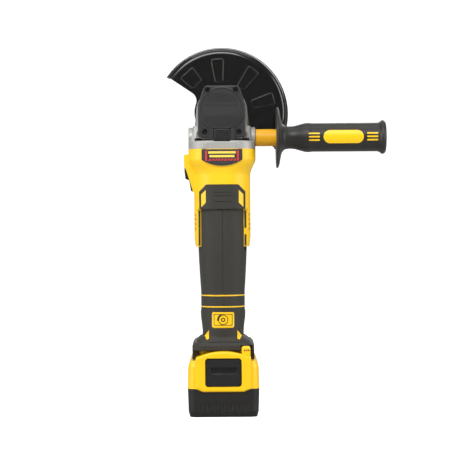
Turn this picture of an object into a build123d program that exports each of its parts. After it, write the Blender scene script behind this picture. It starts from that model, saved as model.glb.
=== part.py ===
"""Cordless angle grinder for 125 mm discs, as an assembly of separate pieces.

Frame: millimetres. The origin is on the spindle's axis, at the backing flange's seat for the disc.
+Y points out of the spindle, +Z from the battery up to the gear head, +X towards the side handle.
"Depth" below means the distance from the spindle's axis down the motor's axis, which is -Z.
"""

from build123d import *
import os
from math import acos, asin, atan2, cos, degrees, hypot, pi, radians, sin, sqrt, tan

OUT = "parts"
os.makedirs(OUT, exist_ok=True)

# ---------------------------------------------------------------- driving dimensions
running_gap = 0.05  # radial, a shaft in its bore
slip_gap = 0.15  # radial, a turned piece in its seat
moving_gap = 0.35  # between pieces that pass each other
seat_to_motor = 50.0  # disc seat to the motor's axis
motor_y = -seat_to_motor

# bevel gears
gear_module = 1.0
crown_teeth = 40
pinion_teeth = 12
pressure_angle = radians(25)
addendum = 0.8 * gear_module
dedendum = 1.1 * gear_module
tooth_thinning = 0.11
gear_face = 6.5

# spindle, from the cover outwards
spindle_top_y = -68.0
spindle_top_r = 4.0
spindle_r = 6.0
crown_back_y = -38.5
bearing_top_y = -36.0
spindle_bearing_w = 10.0
spindle_bearing_r = 16.0
spindle_collar_r = 8.5
thread_r = 7.0
thread_core_r = 6.35  # where the thread is engaged
spindle_end_y = 19.0
backing_flange_r = 20.5
backing_flange_t = 7.0
pilot_r = 11.1
pilot_h = 1.8
nut_r = 20.0
nut_flange_t = 3.6
nut_boss_h = 3.6

# gear case and its lid
case_front_y = -72.0
case_back_y = -28.0
case_nose_r = 27.8
case_side_x = 27.0
case_taper = 5.0
case_cavity_r = 22.0
case_top_y = -60.0
neck_r = 20.6
neck_end_y = -9.0
box_flange_t = 5.5
box_back_y = case_back_y + box_flange_t
box_screw_ring_r = 24.7
cover_t = 4.0
cover_disc_r = 24.3
cover_disc_t = 1.7
cover_disc_z = -0.5
cover_half_w = 25.3
cover_screws = [(-14.9, 20.9), (14.9, 20.9), (-18.4, -23.8), (18.4, -23.8)]

# joint between the gear case and the motor housing
head_w = 71.7
head_d = 62.0
head_corner_r = 22.0
head_top = 33.6
head_bottom = 42.2
head_screw_x = 25.5
head_screw_y = 20.5
spigot_h = 3.8

# motor, as depths down its axis
front_bearing_at = 31.0
front_bearing_w = 8.0
front_bearing_r = 13.0
shaft_r = 5.0
nose_r = 2.5
lock_ring_at = 22.6
lock_ring_w = 6.0
lock_ring_r = 10.0
lock_notch = 4.2
lock_notches = 6
fan_at = 46.5
fan_w = 9.0
fan_r = 27.4
fan_blades = 13
baffle_at = 57.0
baffle_t = 1.6
stack_at = 67.0
stack_w = 38.0
rotor_r = 12.3
air_gap = 0.7
stator_r = 25.0
stator_poles = 6
yoke_w = 4.0
shoe_w = 2.0
coil_w = 10.6
coil_yoke_gap = 0.116  # at the coil's outer corners
coil_shoe_gap = 0.6
rear_bearing_at = 113.0
rear_bearing_w = 6.0
rear_bearing_r = 9.5
tail_r = 3.5
shaft_end = 122.0

# motor housing
neck_at = 53.0
barrel_at = 69.0
barrel_w = 60.2
barrel_d = 57.0
barrel_corner_r = 25.5
badge_low = 60.4
housing_bore_r = stator_r + slip_gap
fan_bore_r = 28.6
housing_end = 106.0
ear_end = 146.0
ear_half_y = 15.5
panel_top = 80.0
panel_half_w = 24.6
panel_recess = 1.6

# handle
grip_w = 52.0
grip_d = 53.4
grip_corner_r = 24.0
waist_at = 194.0
waist_w = 46.8
waist_d = 50.4
waist_corner_r = 22.4
grip_wall = 2.4
seam_half_w = 0.2
seam_depth = 0.4
band_depths = [198.0, 210.0]
band_w = 1.5
tail_top = 214.0
foot_top = 244.0
foot_shoulder = 250.0
foot_bottom = 266.3
foot_w = 66.0
foot_back_y = 26.0
foot_front_y = -80.0
terminal_top = 246.4
plate_w = 24.0
plate_h = 15.6
plate_depth = 224.5

# battery
battery_w = 76.0
battery_l = 118.0
battery_front_y = -86.0
battery_bottom = 326.0
battery_split = 296.0
battery_top = 266.8
battery_wall = 2.2
tower_half_w = 29.3
tower_back_y = -62.0
tower_top = 256.5
rail_half_w = 26.0
rail_neck_half_w = 22.0
rail_front_y = -60.0
rail_back_y = 20.0
rail_top = 257.8
rail_neck_top = 261.4
cell_r = 9.1
cell_len = 65.0
cell_pitch = 19.2
latch_half_w = 18.9
latch_low = 293.4
latch_high = 264.0
latch_travel = 4.0
latch_room_depth = 12.0

# side handle, along X
handle_z = -29.6
boss_x = head_w / 2
stud_r = 4.95
stud_hole_r = 5.0
stud_mouth = 0.6  # chamfer at the mouth of the threaded hole
stud_grip = 14.0
collar_r = 9.2
collar_end_x = 58.3
grip_flange_r = 32.8
grip_r = 15.4
grip_neck_r = 12.1
grip_end_x = 176.0
core_r = 8.6
core_bore_r = 5.6

# slide switch, on the -X flank
fairing_half_y = 11.0
slider_half_y = 6.4
slider_travel = 8.0
rod_half = 2.0  # half the width of the switch rod's toe
lock_travel = 4.0
button_half_w = 8.3

# guard
guard_top_y = -13.6
guard_t = 1.8
guard_hub_r = 30.0
guard_ring_r = 22.9
guard_r = 71.0
guard_lip_r = 73.4
guard_rim_y = 11.0
guard_shoulder_r = 7.0
guard_mid_angle = 56.0
guard_span = 180.0
pad_rise = 1.2
pad_angles = [-38.5, 3.0, 41.0]  # from the guard's middle, towards its right end
label_pad_angle = -75.0
guard_throat_r = 10.0


# ---------------------------------------------------------------- small helpers
def block(x0, x1, y0, y1, z0, z1):
    """A box between two corners."""
    return Pos((x0 + x1) / 2, (y0 + y1) / 2, (z0 + z1) / 2) * Box(
        abs(x1 - x0), abs(y1 - y0), abs(z1 - z0)
    )


def rod_x(x0, x1, y, z, r):
    return Pos((x0 + x1) / 2, y, z) * Rot(0, 90, 0) * Cylinder(r, abs(x1 - x0))


def rod_y(y0, y1, x, z, r):
    return Pos(x, (y0 + y1) / 2, z) * Rot(90, 0, 0) * Cylinder(r, abs(y1 - y0))


def rod_z(z0, z1, x, y, r):
    return Pos(x, y, (z0 + z1) / 2) * Cylinder(r, abs(z1 - z0))


def spindle_turned(points):
    """A solid turned about the spindle, from (radius, y) points."""
    return revolve(make_face(Polyline(*points, close=True)), Axis.Y)


def motor_turned(points):
    """A solid turned about the motor's axis, from (radius, depth) points."""
    face = Plane.XZ * make_face(Polyline(*[(r, -d) for r, d in points], close=True))
    return Pos(0, motor_y, 0) * revolve(face, Axis.Z)


def handle_turned(points):
    """A solid turned about the side handle's axis, from (x, radius) points."""
    face = make_face(Polyline(*points, close=True))
    return Pos(0, motor_y, handle_z) * revolve(face, Axis.X)


def ring(r_in, r_out, start, end, turned):
    """A plain ring between two places along an axis."""
    return turned([(r_in, start), (r_out, start), (r_out, end), (r_in, end)])


def front_plane(y):
    """A plane facing the lid's side: its x is +X, its y is +Z."""
    return Plane(origin=(0, y, 0), x_dir=(1, 0, 0), z_dir=(0, -1, 0))


def prism(section, start, end):
    """A section drawn on the motor's axis, run from one depth to another."""
    return Pos(0, motor_y, -end) * extrude(section, end - start)


def level(depth, width, length, corner, y=0.0):
    """A rounded rectangle across the motor's axis at a depth."""
    return Pos(0, motor_y + y, -depth) * RectangleRounded(width, length, corner)


def tube_loft(levels, inset=0.0):
    """A smooth body through rounded rectangles (depth, width, length, corner, y)."""
    faces = [
        level(d, w - 2 * inset, ln - 2 * inset, max(c - inset, 1.0), y)
        for d, w, ln, c, y in levels
    ]
    return loft(faces)


def joined(shapes):
    """One solid from several that meet."""
    total = shapes[0]
    for shape in shapes[1:]:
        total = total + shape
    return total


def around_y(shape, count, start=0.0):
    return [Rot(0, start + i * 360 / count, 0) * shape for i in range(count)]


def around_motor(shape, count, start=0.0):
    """Copies of a shape, made about the Z axis, turned about the motor's axis."""
    return [
        Pos(0, motor_y, 0) * Rot(0, 0, start + i * 360 / count) * shape
        for i in range(count)
    ]


def save(name, *shapes):
    """Writes one node; several shapes stay separate solids."""
    solids = [s for shape in shapes for s in shape.solids()]
    whole = solids[0] if len(solids) == 1 else Compound(children=solids)
    export_step(whole, os.path.join(OUT, name + ".step"))


def ball_bearing(bore_r, outer_r, width, balls):
    """A bearing along Z from 0 to width: two races and its balls."""
    mid = (bore_r + outer_r) / 2
    ball_r = (outer_r - bore_r) * 0.22
    groove = revolve(Plane.XZ * Pos(mid, width / 2) * Circle(ball_r + 0.03), Axis.Z)

    def race(r_in, r_out):
        tube = Pos(0, 0, width / 2) * (
            Cylinder(r_out, width) - Cylinder(r_in, width + 2)
        )
        return tube - groove

    inner = race(bore_r + running_gap / 2, mid - ball_r * 0.55)
    outer = race(mid + ball_r * 0.55, outer_r - 0.02)
    ball = Pos(mid, 0, width / 2) * Sphere(ball_r)
    return [inner, outer] + [Rot(0, 0, i * 360 / balls) * ball for i in range(balls)]


def socket_screw(head_r, head_h, shank_r, shank_len, star=True):
    """A screw along Z: its head stands on z = 0 and its shank goes down."""
    head = Pos(0, 0, head_h / 2) * Cylinder(head_r, head_h)
    head = fillet(head.edges().group_by(Axis.Z)[-1], head_r * 0.18)
    size = head_r * 0.5
    recess = extrude(Pos(0, 0, head_h * 0.4) * RegularPolygon(size, 6), head_h)
    if star:
        lobe = extrude(Pos(0, 0, head_h * 0.4) * Rectangle(size * 2.3, size * 0.5), head_h)
        recess = joined([recess] + [Rot(0, 0, a) * lobe for a in (0, 60, 120)])
    shank = Pos(0, 0, -shank_len / 2) * Cylinder(shank_r, shank_len)
    return (head - recess) + shank


def coil_spring(mean_r, wire_r, length, turns):
    """An open coil spring along Z from 0."""
    pitch = (length - 2 * wire_r) / turns
    path = Helix(pitch=pitch, height=pitch * turns, radius=mean_r)
    section = Plane(origin=path @ 0, z_dir=path % 0) * Circle(wire_r)
    return Pos(0, 0, wire_r) * sweep(section, path=path)


def bevel_gear(teeth, other_teeth, hub_back, bore_r):
    """A straight bevel gear with its apex at the origin and its axis along +Z.

    Returns the gear with tooth 0 centred on +X."""
    pitch_r = gear_module * teeth / 2
    cone = atan2(teeth, other_teeth)
    cone_len = pitch_r / sin(cone)
    inner = (cone_len - gear_face) / cone_len
    flat_r = cone_len * tan(cone)
    flat_teeth = teeth / cos(cone)
    base_r = flat_r * cos(pressure_angle)

    def half_angle(rho):
        tilt = acos(min(1.0, base_r / rho))
        at_pitch = tan(pressure_angle) - pressure_angle
        return pi / (2 * flat_teeth) - tooth_thinning / flat_r + at_pitch - (tan(tilt) - tilt)

    sink = 0.25
    radii = [
        flat_r - dedendum - sink,
        flat_r - dedendum * 0.5,
        flat_r,
        flat_r + addendum * 0.5,
        flat_r + addendum,
    ]
    side = [
        (rho * sin(half_angle(max(rho, base_r))), rho * cos(half_angle(max(rho, base_r))) - flat_r)
        for rho in radii
    ]
    outline = side + [(-t, h) for t, h in reversed(side)]
    along = Vector(sin(cone), 0, cos(cone)) * cone_len
    out = Vector(cos(cone), 0, -sin(cone))
    across = Vector(0, 1, 0)

    def wire(scale):
        return Wire.make_polygon([(along + across * t + out * h) * scale for t, h in outline], close=True)

    tooth = Solid.make_loft([wire(1.0), wire(inner)], ruled=True)
    root_r = pitch_r - dedendum * cos(cone)
    root_z = cone_len * cos(cone) + dedendum * sin(cone)
    profile = [
        (bore_r, root_z * inner),
        (root_r * inner, root_z * inner),
        (root_r, root_z),
        (root_r, hub_back),
        (bore_r, hub_back),
    ]
    blank = revolve(Plane.XZ * make_face(Polyline(*profile, close=True)), Axis.Z)
    copies = [Rot(0, 0, i * 360 / teeth) * Part(tooth.wrapped) for i in range(teeth)]
    return blank.fuse(*copies)


# ---------------------------------------------------------------- spindle and its pieces
def crown_web_y():
    """Where the crown gear's flat front face is."""
    cone = atan2(crown_teeth, pinion_teeth)
    length = gear_module * crown_teeth / 2 / sin(cone)
    inner = (length - gear_face) / length
    return motor_y + (length * cos(cone) + dedendum * sin(cone)) * inner


clip_t = 1.2
free_thread_gap = 0.2  # from the nut's end to the free thread


def nut_end_y():
    return pilot_h + nut_flange_t + nut_boss_h


def make_spindle():
    groove_y = crown_web_y() - clip_t
    body = spindle_turned(
        [
            (0, spindle_top_y),
            (spindle_top_r, spindle_top_y),
            (spindle_top_r, case_top_y - 0.4),
            (spindle_r, case_top_y + 0.2),
            (spindle_r, groove_y),
            (spindle_r - 0.7, groove_y),
            (spindle_r - 0.7, groove_y + clip_t),
            (spindle_r, groove_y + clip_t),
            (spindle_r, bearing_top_y + spindle_bearing_w),
            (spindle_collar_r, bearing_top_y + spindle_bearing_w),
            (spindle_collar_r, -backing_flange_t),
            (thread_core_r, -backing_flange_t),
            (thread_core_r, nut_end_y() + free_thread_gap),
            (thread_r, nut_end_y() + free_thread_gap),
            (thread_r, spindle_end_y - 1),
            (thread_r - 1, spindle_end_y),
            (0, spindle_end_y),
        ]
    )
    centre = spindle_turned(
        [(0, spindle_end_y - 2.4), (2.2, spindle_end_y + 0.1), (0, spindle_end_y + 0.1)]
    )
    save("spindle", body - centre)


def make_crown_gear():
    gear = bevel_gear(crown_teeth, pinion_teeth, crown_back_y - motor_y, spindle_r)
    place = Plane(origin=(0, motor_y, 0), x_dir=(0, 0, -1), z_dir=(0, 1, 0))
    # a gap, not a tooth, faces the pinion
    save("crown_gear", place.location * Rot(0, 0, 180 / crown_teeth) * gear)


def make_spindle_rings():
    web_y = crown_web_y()
    clip = ring(spindle_r - 0.7, spindle_r + 2.0, web_y - clip_t, web_y, spindle_turned)
    clip = clip - block(0, 12, web_y - 3, web_y + 3, -1.6, 1.6)
    spacer = ring(spindle_r, spindle_r + 2.5, crown_back_y, bearing_top_y, spindle_turned)
    save("crown_gear_rings", clip, spacer)


def make_spindle_bearings():
    shape = ball_bearing(spindle_r, spindle_bearing_r, spindle_bearing_w, 8)
    place = Plane(origin=(0, bearing_top_y, 0), x_dir=(1, 0, 0), z_dir=(0, 1, 0)).location
    sleeve = ring(spindle_top_r + running_gap / 2, 7.0, spindle_top_y, case_top_y - 0.6, spindle_turned)
    save("spindle_bearings", sleeve, *[place * s for s in shape])


def make_flanges():
    backing = spindle_turned(
        [
            (thread_core_r, -backing_flange_t),
            (backing_flange_r - 4, -backing_flange_t),
            (backing_flange_r, -backing_flange_t + 3),
            (backing_flange_r, 0),
            (backing_flange_r - 5, 0),
            (backing_flange_r - 5.4, -0.5),
            (pilot_r, -0.5),
            (pilot_r, pilot_h),
            (thread_core_r, pilot_h),
        ]
    )
    save("backing_flange", backing)
    boss_y = pilot_h + nut_flange_t
    nut = spindle_turned(
        [
            (thread_core_r, pilot_h),
            (nut_r, pilot_h),
            (nut_r, boss_y - 0.6),
            (nut_r - 0.6, boss_y),
            (pilot_r, boss_y),
            (pilot_r - 0.6, nut_end_y()),
            (thread_core_r, nut_end_y()),
        ]
    )
    pin_hole = rod_y(pilot_h - 1, boss_y + 1, 15.0, 0, 2.5)
    for hole in around_y(pin_hole, 4, 45):
        nut = nut - hole
    save("clamp_nut", nut)


# ---------------------------------------------------------------- gear case
def head_levels(start, end):
    return [(start, head_w, head_d, head_corner_r, 0), (end, head_w, head_d, head_corner_r, 0)]


def cover_outline():
    points = [(17.2, 25.0), (20.2, 20.2), (cover_half_w, 4.6), (cover_half_w, -30.3)]
    both = points + [(-x, z) for x, z in reversed(points)]
    face = make_face(Polyline(*both, close=True))
    return fillet(face.vertices(), 3.4)


def head_screw_places():
    return [(sx * head_screw_x, motor_y + sy * head_screw_y) for sx in (-1, 1) for sy in (-1, 1)]


def lip_slope():
    """What the slope on the lip's front edge takes away, between the two pads' outer sides."""
    front = motor_y - head_d / 2
    profile = Polyline(
        (front - 1, -head_top + 1), (front + 3.4, -head_top + 1), (front - 1, -head_top - 3.6), close=True
    )
    return Pos(-21.4, 0, 0) * extrude(make_face(Plane.YZ * profile), 42.8)


def make_gear_case():
    foot_x = case_side_x
    hull = make_hull(
        [
            Circle(case_nose_r).edge(),
            (Pos(foot_x, -31) * Circle(4)).edge(),
            (Pos(-foot_x, -31) * Circle(4)).edge(),
        ]
    )
    dome = extrude(front_plane(case_back_y) * hull, case_back_y - case_front_y, taper=case_taper)
    pedestal = extrude(front_plane(case_top_y) * cover_outline(), case_top_y - case_front_y)
    lip = tube_loft(head_levels(head_top, head_bottom))
    lip = fillet(lip.edges().group_by(Axis.Z)[-1], 1.6)
    lip = lip - lip_slope()
    pads = [
        block(
            side * 17.0,
            side * 20.8,
            motor_y - head_d / 2 - 0.6,
            motor_y - 20,
            -head_bottom,
            -head_bottom + 5.4,
        )
        for side in (-1, 1)
    ]
    boss = rod_x(-boss_x, boss_x, motor_y, handle_z, 11.5)
    boss = chamfer(boss.edges().filter_by(GeomType.CIRCLE), 0.8)
    shoulder = extrude(
        Pos(0, motor_y, -head_top) * RectangleRounded(head_w - 3, 32, 9), 16.5, taper=12
    )
    case = joined([dome, pedestal, lip, boss, shoulder] + pads)
    # inside
    case = case - rod_y(case_top_y, case_back_y + 1, 0, 0, case_cavity_r)
    case = case - rod_y(spindle_top_y - 0.5, case_top_y + 1, 0, 0, 7.0)
    case = case - motor_turned([(0, 8), (11.2, 8), (11.2, front_bearing_at), (0, front_bearing_at)])
    case = case - motor_turned(
        [(0, front_bearing_at), (front_bearing_r, front_bearing_at), (front_bearing_r, 60), (0, 60)]
    )
    case = case - ring(front_bearing_r + 3.2, 26.0, 38.0, 60.0, motor_turned)
    for x, y in head_screw_places():
        case = case - rod_z(-60, -head_top, x, y, 2.1) - rod_z(-head_top, -head_top + 9.5, x, y, 4.4)
    for side in (-1, 1):
        case = case - rod_x(
            side * (boss_x - stud_grip), side * (boss_x + 1), motor_y, handle_z, stud_hole_r
        )
        mouth = Cone(stud_hole_r, stud_hole_r + stud_mouth, stud_mouth)
        place = Pos(side * (boss_x - stud_mouth / 2), motor_y, handle_z)
        case = case - place * Rot(0, side * 90, 0) * mouth
    # pocket and guide for the spindle lock
    pocket = block(
        -button_half_w - moving_gap, button_half_w + moving_gap, case_front_y + 6, -100, -34.5, -21.0
    )
    case = case - pocket - rod_y(-70, motor_y, 0, lock_z(), 2.0 + running_gap)
    for x, z in cover_screws:
        case = case - rod_y(case_front_y - 1, case_front_y + 9, x, z, 1.6)
    for place in box_screw_places():
        case = case - rod_y(case_back_y - 10, case_back_y + 1, place[0], place[1], 1.5)
    save("gear_case", case)


def lock_z():
    return -(lock_ring_at + lock_ring_w / 2)


def box_screw_places():
    angles = [radians(a) for a in (45, 135, 225, 315)]
    return [(box_screw_ring_r * cos(a), box_screw_ring_r * sin(a)) for a in angles]


lever_pivot = (-25.0, -21.5)
groove_y0 = -17.2
groove_y1 = -13.9


def make_bearing_box():
    """The lid on the spindle's side, with the neck that the guard turns on."""
    seat_y = bearing_top_y + spindle_bearing_w
    box = spindle_turned(
        [
            (spindle_bearing_r, bearing_top_y),
            (case_cavity_r - slip_gap / 2, bearing_top_y),
            (case_cavity_r - slip_gap / 2, case_back_y),
            (case_nose_r - 0.2, case_back_y),
            (case_nose_r - 0.2, box_back_y),
            (neck_r, box_back_y),
            (neck_r, groove_y0),
            (neck_r - 1.5, groove_y0),
            (neck_r - 1.5, groove_y1),
            (neck_r, groove_y1),
            (neck_r, neck_end_y),
            (spindle_collar_r + 0.6, neck_end_y),
            (spindle_collar_r + 0.6, seat_y + 5.5),
            (13.0, seat_y + 5.5),
            (13.0, seat_y),
            (spindle_bearing_r, seat_y),
        ]
    )
    x, z = lever_pivot
    ear_hull = make_hull([(Pos(x, z) * Circle(4.2)).edge(), (Pos(x * 0.7, z * 0.7) * Circle(5)).edge()])
    ear = extrude(front_plane(box_back_y) * ear_hull, box_flange_t)
    ear = ear - rod_y(case_back_y - 1, box_back_y + 1, 0, 0, case_nose_r - 2)
    box = box + ear - rod_y(box_back_y - 4.0, box_back_y + 1, x, z, 1.5)
    for px, pz in box_screw_places():
        box = box - rod_y(case_back_y - 1, box_back_y + 1, px, pz, 1.5) - rod_y(
            box_back_y - 2.6, box_back_y + 1, px, pz, 2.95
        )
    save("bearing_box", box)
    save("spindle_seal", ring(spindle_collar_r + 0.06, 13.0, seat_y + 0.5, seat_y + 5.5, spindle_turned))


def make_case_screws():
    down = Plane(origin=(0, box_back_y - 2.6, 0), x_dir=(1, 0, 0), z_dir=(0, 1, 0)).location
    screw = down * socket_screw(2.8, 2.4, 1.4, 10)
    angles = (45, 135, 225, 315)
    flush = [
        Pos(
            box_screw_ring_r * cos(radians(a)), 0, box_screw_ring_r * sin(radians(a))
        ) * screw for a in angles
    ]
    head = socket_screw(3.7, 3.0, 2.0, 22, star=False)
    deep = [Pos(x, y, -head_top) * head for x, y in head_screw_places()]
    out = Plane(origin=(0, case_front_y - cover_t + 1.2, 0), x_dir=(1, 0, 0), z_dir=(0, -1, 0)).location
    cap = out * socket_screw(2.6, 2.2, 1.5, 10)
    save("case_screws", *flush, *deep, *[Pos(x, 0, z) * cap for x, z in cover_screws])


def make_gear_cover():
    top_y = case_front_y - cover_t
    plate = extrude(front_plane(case_front_y) * cover_outline(), cover_t)
    plate = fillet(plate.edges().group_by(Axis.Y)[0], 1.3)
    disc = extrude(front_plane(top_y) * Pos(0, cover_disc_z) * Circle(cover_disc_r), cover_disc_t)
    disc = chamfer(disc.edges().group_by(Axis.Y)[0], 0.9)
    groove = rod_y(top_y - 3, top_y - cover_disc_t + 0.7, 0, cover_disc_z, cover_disc_r - 1.9) - rod_y(
        top_y - 4, top_y + 1, 0, cover_disc_z, cover_disc_r - 2.9
    )
    cover = plate + disc - groove
    rails = [
        block(
            side * (button_half_w + 0.6), side * 13.6, top_y - 2.6, case_front_y, -33.4, -20.6
        ) for side in (-1, 1)
    ]
    cover = joined([cover] + rails)
    cover = cover - block(-button_half_w - 0.6, button_half_w + 0.6, -100, case_front_y + 1, -40, -20.8)
    for x, z in cover_screws:
        cover = cover - rod_y(case_front_y + 1, -90, x, z, 1.7) - rod_y(top_y + 1.2, top_y - 5, x, z, 2.9)
    save("gear_cover", cover)


def make_spindle_lock():
    front = case_front_y - cover_t - 5.0
    back = case_front_y + 0.8
    button = block(-button_half_w, button_half_w, front, back, -33.8, -21.4)
    button = fillet(button.edges().group_by(Axis.Y)[0], 1.2)
    for i in range(4):
        z = -23.6 - i * 1.9
        button = button - block(
            -button_half_w + 1.6, button_half_w - 1.6, front - 1, front + 0.6, z - 0.45, z + 0.45
        )
    arrow = extrude(front_plane(front + 0.5) * Pos(0, -31.4) * RegularPolygon(1.5, 3), 1.2)
    button = button - arrow - rod_y(back - 5, back + 1, 0, lock_z(), 2.0 + 0.01)
    # room for the spring around the pin
    button = button - (
        rod_y(back - 3.0, back + 1, 0, lock_z(), 4.6) - rod_y(back - 4, back + 2, 0, lock_z(), 2.0)
    )
    save("spindle_lock_button", button)
    tip_y = motor_y - lock_ring_r - 0.7
    save("spindle_lock_pin", rod_y(back - 5, tip_y, 0, lock_z(), 2.0))
    length = (case_front_y + 6) - (back - 3.0)
    spring = Plane(
        origin=(0, back - 3.0, lock_z()), x_dir=(1, 0, 0), z_dir=(0, 1, 0)
    ).location * coil_spring(
        3.4, 0.45, length, 4
    )
    save("spindle_lock_spring", spring)


# ---------------------------------------------------------------- rotor and stator
def make_pinion():
    gear = bevel_gear(pinion_teeth, crown_teeth, lock_ring_at - 0.4, nose_r)
    place = Plane(origin=(0, motor_y, 0), x_dir=(0, 1, 0), z_dir=(0, 0, -1))
    save("pinion", place.location * gear)


def make_rotor():
    nose_top = 13.0
    shaft = motor_turned(
        [
            (0, nose_top),
            (nose_r, nose_top),
            (nose_r, lock_ring_at - 0.4),
            (shaft_r, lock_ring_at - 0.4),
            (shaft_r, stack_at + stack_w + 3),
            (tail_r, stack_at + stack_w + 3),
            (tail_r, shaft_end),
            (0, shaft_end),
        ]
    )
    save("rotor_shaft", shaft)
    core = ring(shaft_r, rotor_r, stack_at, stack_at + stack_w, motor_turned)
    slot = Pos(rotor_r - 3.0, 0, -(stack_at + stack_w / 2)) * Box(2.2, 11.0, stack_w + 2)
    for copy in around_motor(slot, 4):
        core = core - copy
    save("rotor_core", core)
    magnet = Pos(rotor_r - 3.0, 0, -(stack_at + stack_w / 2)) * Box(2.1, 10.9, stack_w)
    save("rotor_magnets", *around_motor(magnet, 4))
    lock = ring(shaft_r, lock_ring_r, lock_ring_at, lock_ring_at + lock_ring_w, motor_turned)
    notch = Pos(lock_ring_r, 0, lock_z()) * Box(2 * lock_notch, 4.6, lock_ring_w + 2)
    # one notch faces the pin
    for copy in around_motor(notch, lock_notches, -90):
        lock = lock - copy
    save("lock_ring", lock)


def make_fan():
    hub = ring(shaft_r, 8.5, fan_at, fan_at + fan_w, motor_turned)
    back = ring(8.0, fan_r, fan_at + fan_w - 1.4, fan_at + fan_w, motor_turned)
    blade = Pos((8.0 + fan_r) / 2, 0, -(fan_at + fan_w / 2)) * Box(fan_r - 8.4, 1.3, fan_w)
    save("cooling_fan", joined([hub, back] + around_motor(blade, fan_blades)))


def make_motor_bearings():
    front = ball_bearing(shaft_r, front_bearing_r, front_bearing_w, 8)
    front = [Pos(0, motor_y, -front_bearing_at - front_bearing_w) * s for s in front]
    rear = ball_bearing(tail_r, rear_bearing_r, rear_bearing_w, 7)
    rear = [Pos(0, motor_y, -rear_bearing_at - rear_bearing_w) * s for s in rear]
    save("motor_bearings", *front, *rear)
    clip_at = front_bearing_at + front_bearing_w
    clip = ring(front_bearing_r - 2.6, front_bearing_r - 0.05, clip_at, clip_at + 1.4, motor_turned)
    clip = clip - (Pos(0, motor_y, 0) * block(0, 20, -2, 2, -60, -20))
    plate = ring(12.0, 20.5, bearing_top_y - 1.2, bearing_top_y, spindle_turned)
    save("bearing_retainers", clip, plate)


def make_stator():
    bore = rotor_r + air_gap
    stack_mid = -(stack_at + stack_w / 2)
    yoke_in = stator_r - yoke_w
    yoke = ring(yoke_in, stator_r, stack_at, stack_at + stack_w, motor_turned)
    tooth = Pos((bore + yoke_in + 0.5) / 2, 0, stack_mid) * Box(yoke_in + 0.5 - bore, 6.0, stack_w)
    shoe = ring(bore, bore + shoe_w, stack_at, stack_at + stack_w, motor_turned)
    slot = Pos(bore + 1, 0, stack_mid) * Box(8, 2.4, stack_w + 2)
    core = joined([yoke, shoe] + around_motor(tooth, stator_poles))
    for copy in around_motor(slot, stator_poles, 180 / stator_poles):
        core = core - copy
    core = core - rod_z(-stack_at + 1, -stack_at - stack_w - 1, 0, motor_y, bore)
    save("stator_core", core)
    coil_in = bore + shoe_w + coil_shoe_gap
    coil_out = sqrt((yoke_in - coil_yoke_gap) ** 2 - (coil_w / 2) ** 2)
    bundle = Box(coil_out - coil_in, coil_w, stack_w + 8)
    bundle = fillet(bundle.edges().filter_by(Axis.X), 1.4)
    coil = bundle - Box(coil_out - coil_in + 1.4, 6.4, stack_w + 0.4)
    coil = Pos((coil_in + coil_out) / 2, 0, stack_mid) * coil
    save("stator_coils", *around_motor(coil, stator_poles))


def make_motor_mounts():
    baffle = ring(15.0, fan_bore_r - 0.1, baffle_at, baffle_at + baffle_t, motor_turned)
    save("fan_baffle", baffle)
    hub = ring(
        rear_bearing_r,
        rear_bearing_r + 2.6,
        rear_bearing_at - 0.4,
        rear_bearing_at + rear_bearing_w,
        motor_turned,
    )
    cap = ring(
        tail_r + 1.0,
        rear_bearing_r + 2.6,
        rear_bearing_at + rear_bearing_w,
        rear_bearing_at + rear_bearing_w + 1.6,
        motor_turned,
    )
    rim_out = grip_w / 2 - grip_wall - 0.3
    rim = ring(rim_out - 2.4, rim_out, rear_bearing_at - 0.4, rear_bearing_at + 5.0, motor_turned)
    spoke = Pos(
        (rear_bearing_r + rim_out) / 2, 0, -(rear_bearing_at + 2.2)
    ) * Box(rim_out - rear_bearing_r - 2, 3.0, 4.4)
    mount = joined([hub, cap, rim] + around_motor(spoke, 5, 18))
    # the switch rod's toe runs through the rim
    toe_room = block(
        -30.0, -rear_bearing_r - 5.0, motor_y - rod_half - 0.6, motor_y + rod_half + 0.6, -110.0, -125.0
    )
    save("rear_bearing_mount", mount - toe_room)


# ---------------------------------------------------------------- motor housing and switch
def head_section(grow=0.0):
    return RectangleRounded(head_w + 2 * grow, head_d + 2 * grow, head_corner_r + grow)


def barrel_section(grow=0.0):
    return RectangleRounded(barrel_w + 2 * grow, barrel_d + 2 * grow, barrel_corner_r + grow)


def badge_prism(grow):
    """The badge's shield outline, run through the housing's front."""
    half, top, low = 21.6 + grow, -head_bottom - 0.7 + grow, -54.0
    sketch = make_face(
        Polyline((-half, low), (-half, top), (half, top), (half, low))
        + ThreePointArc((half, low), (0, low - 6.4 - grow), (-half, low))
    )
    return extrude(front_plane(motor_y) * sketch, 60)


def fairing_outline():
    """Side outline, in x and z, of the raised flank that carries the slide switch."""
    return [
        (-20, -47.4),
        (-40.3, -47.4),
        (-41.0, -49.5),
        (-40.6, -60.6),
        (-39.4, -61.6),
        (-35.2, -74.6),
        (-34.2, -77.0),
        (-31.3, -87.0),
        (-29.2, -91.0),
        (-20, -92.0),
    ]


def slider_top_z():
    return -59.0


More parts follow.
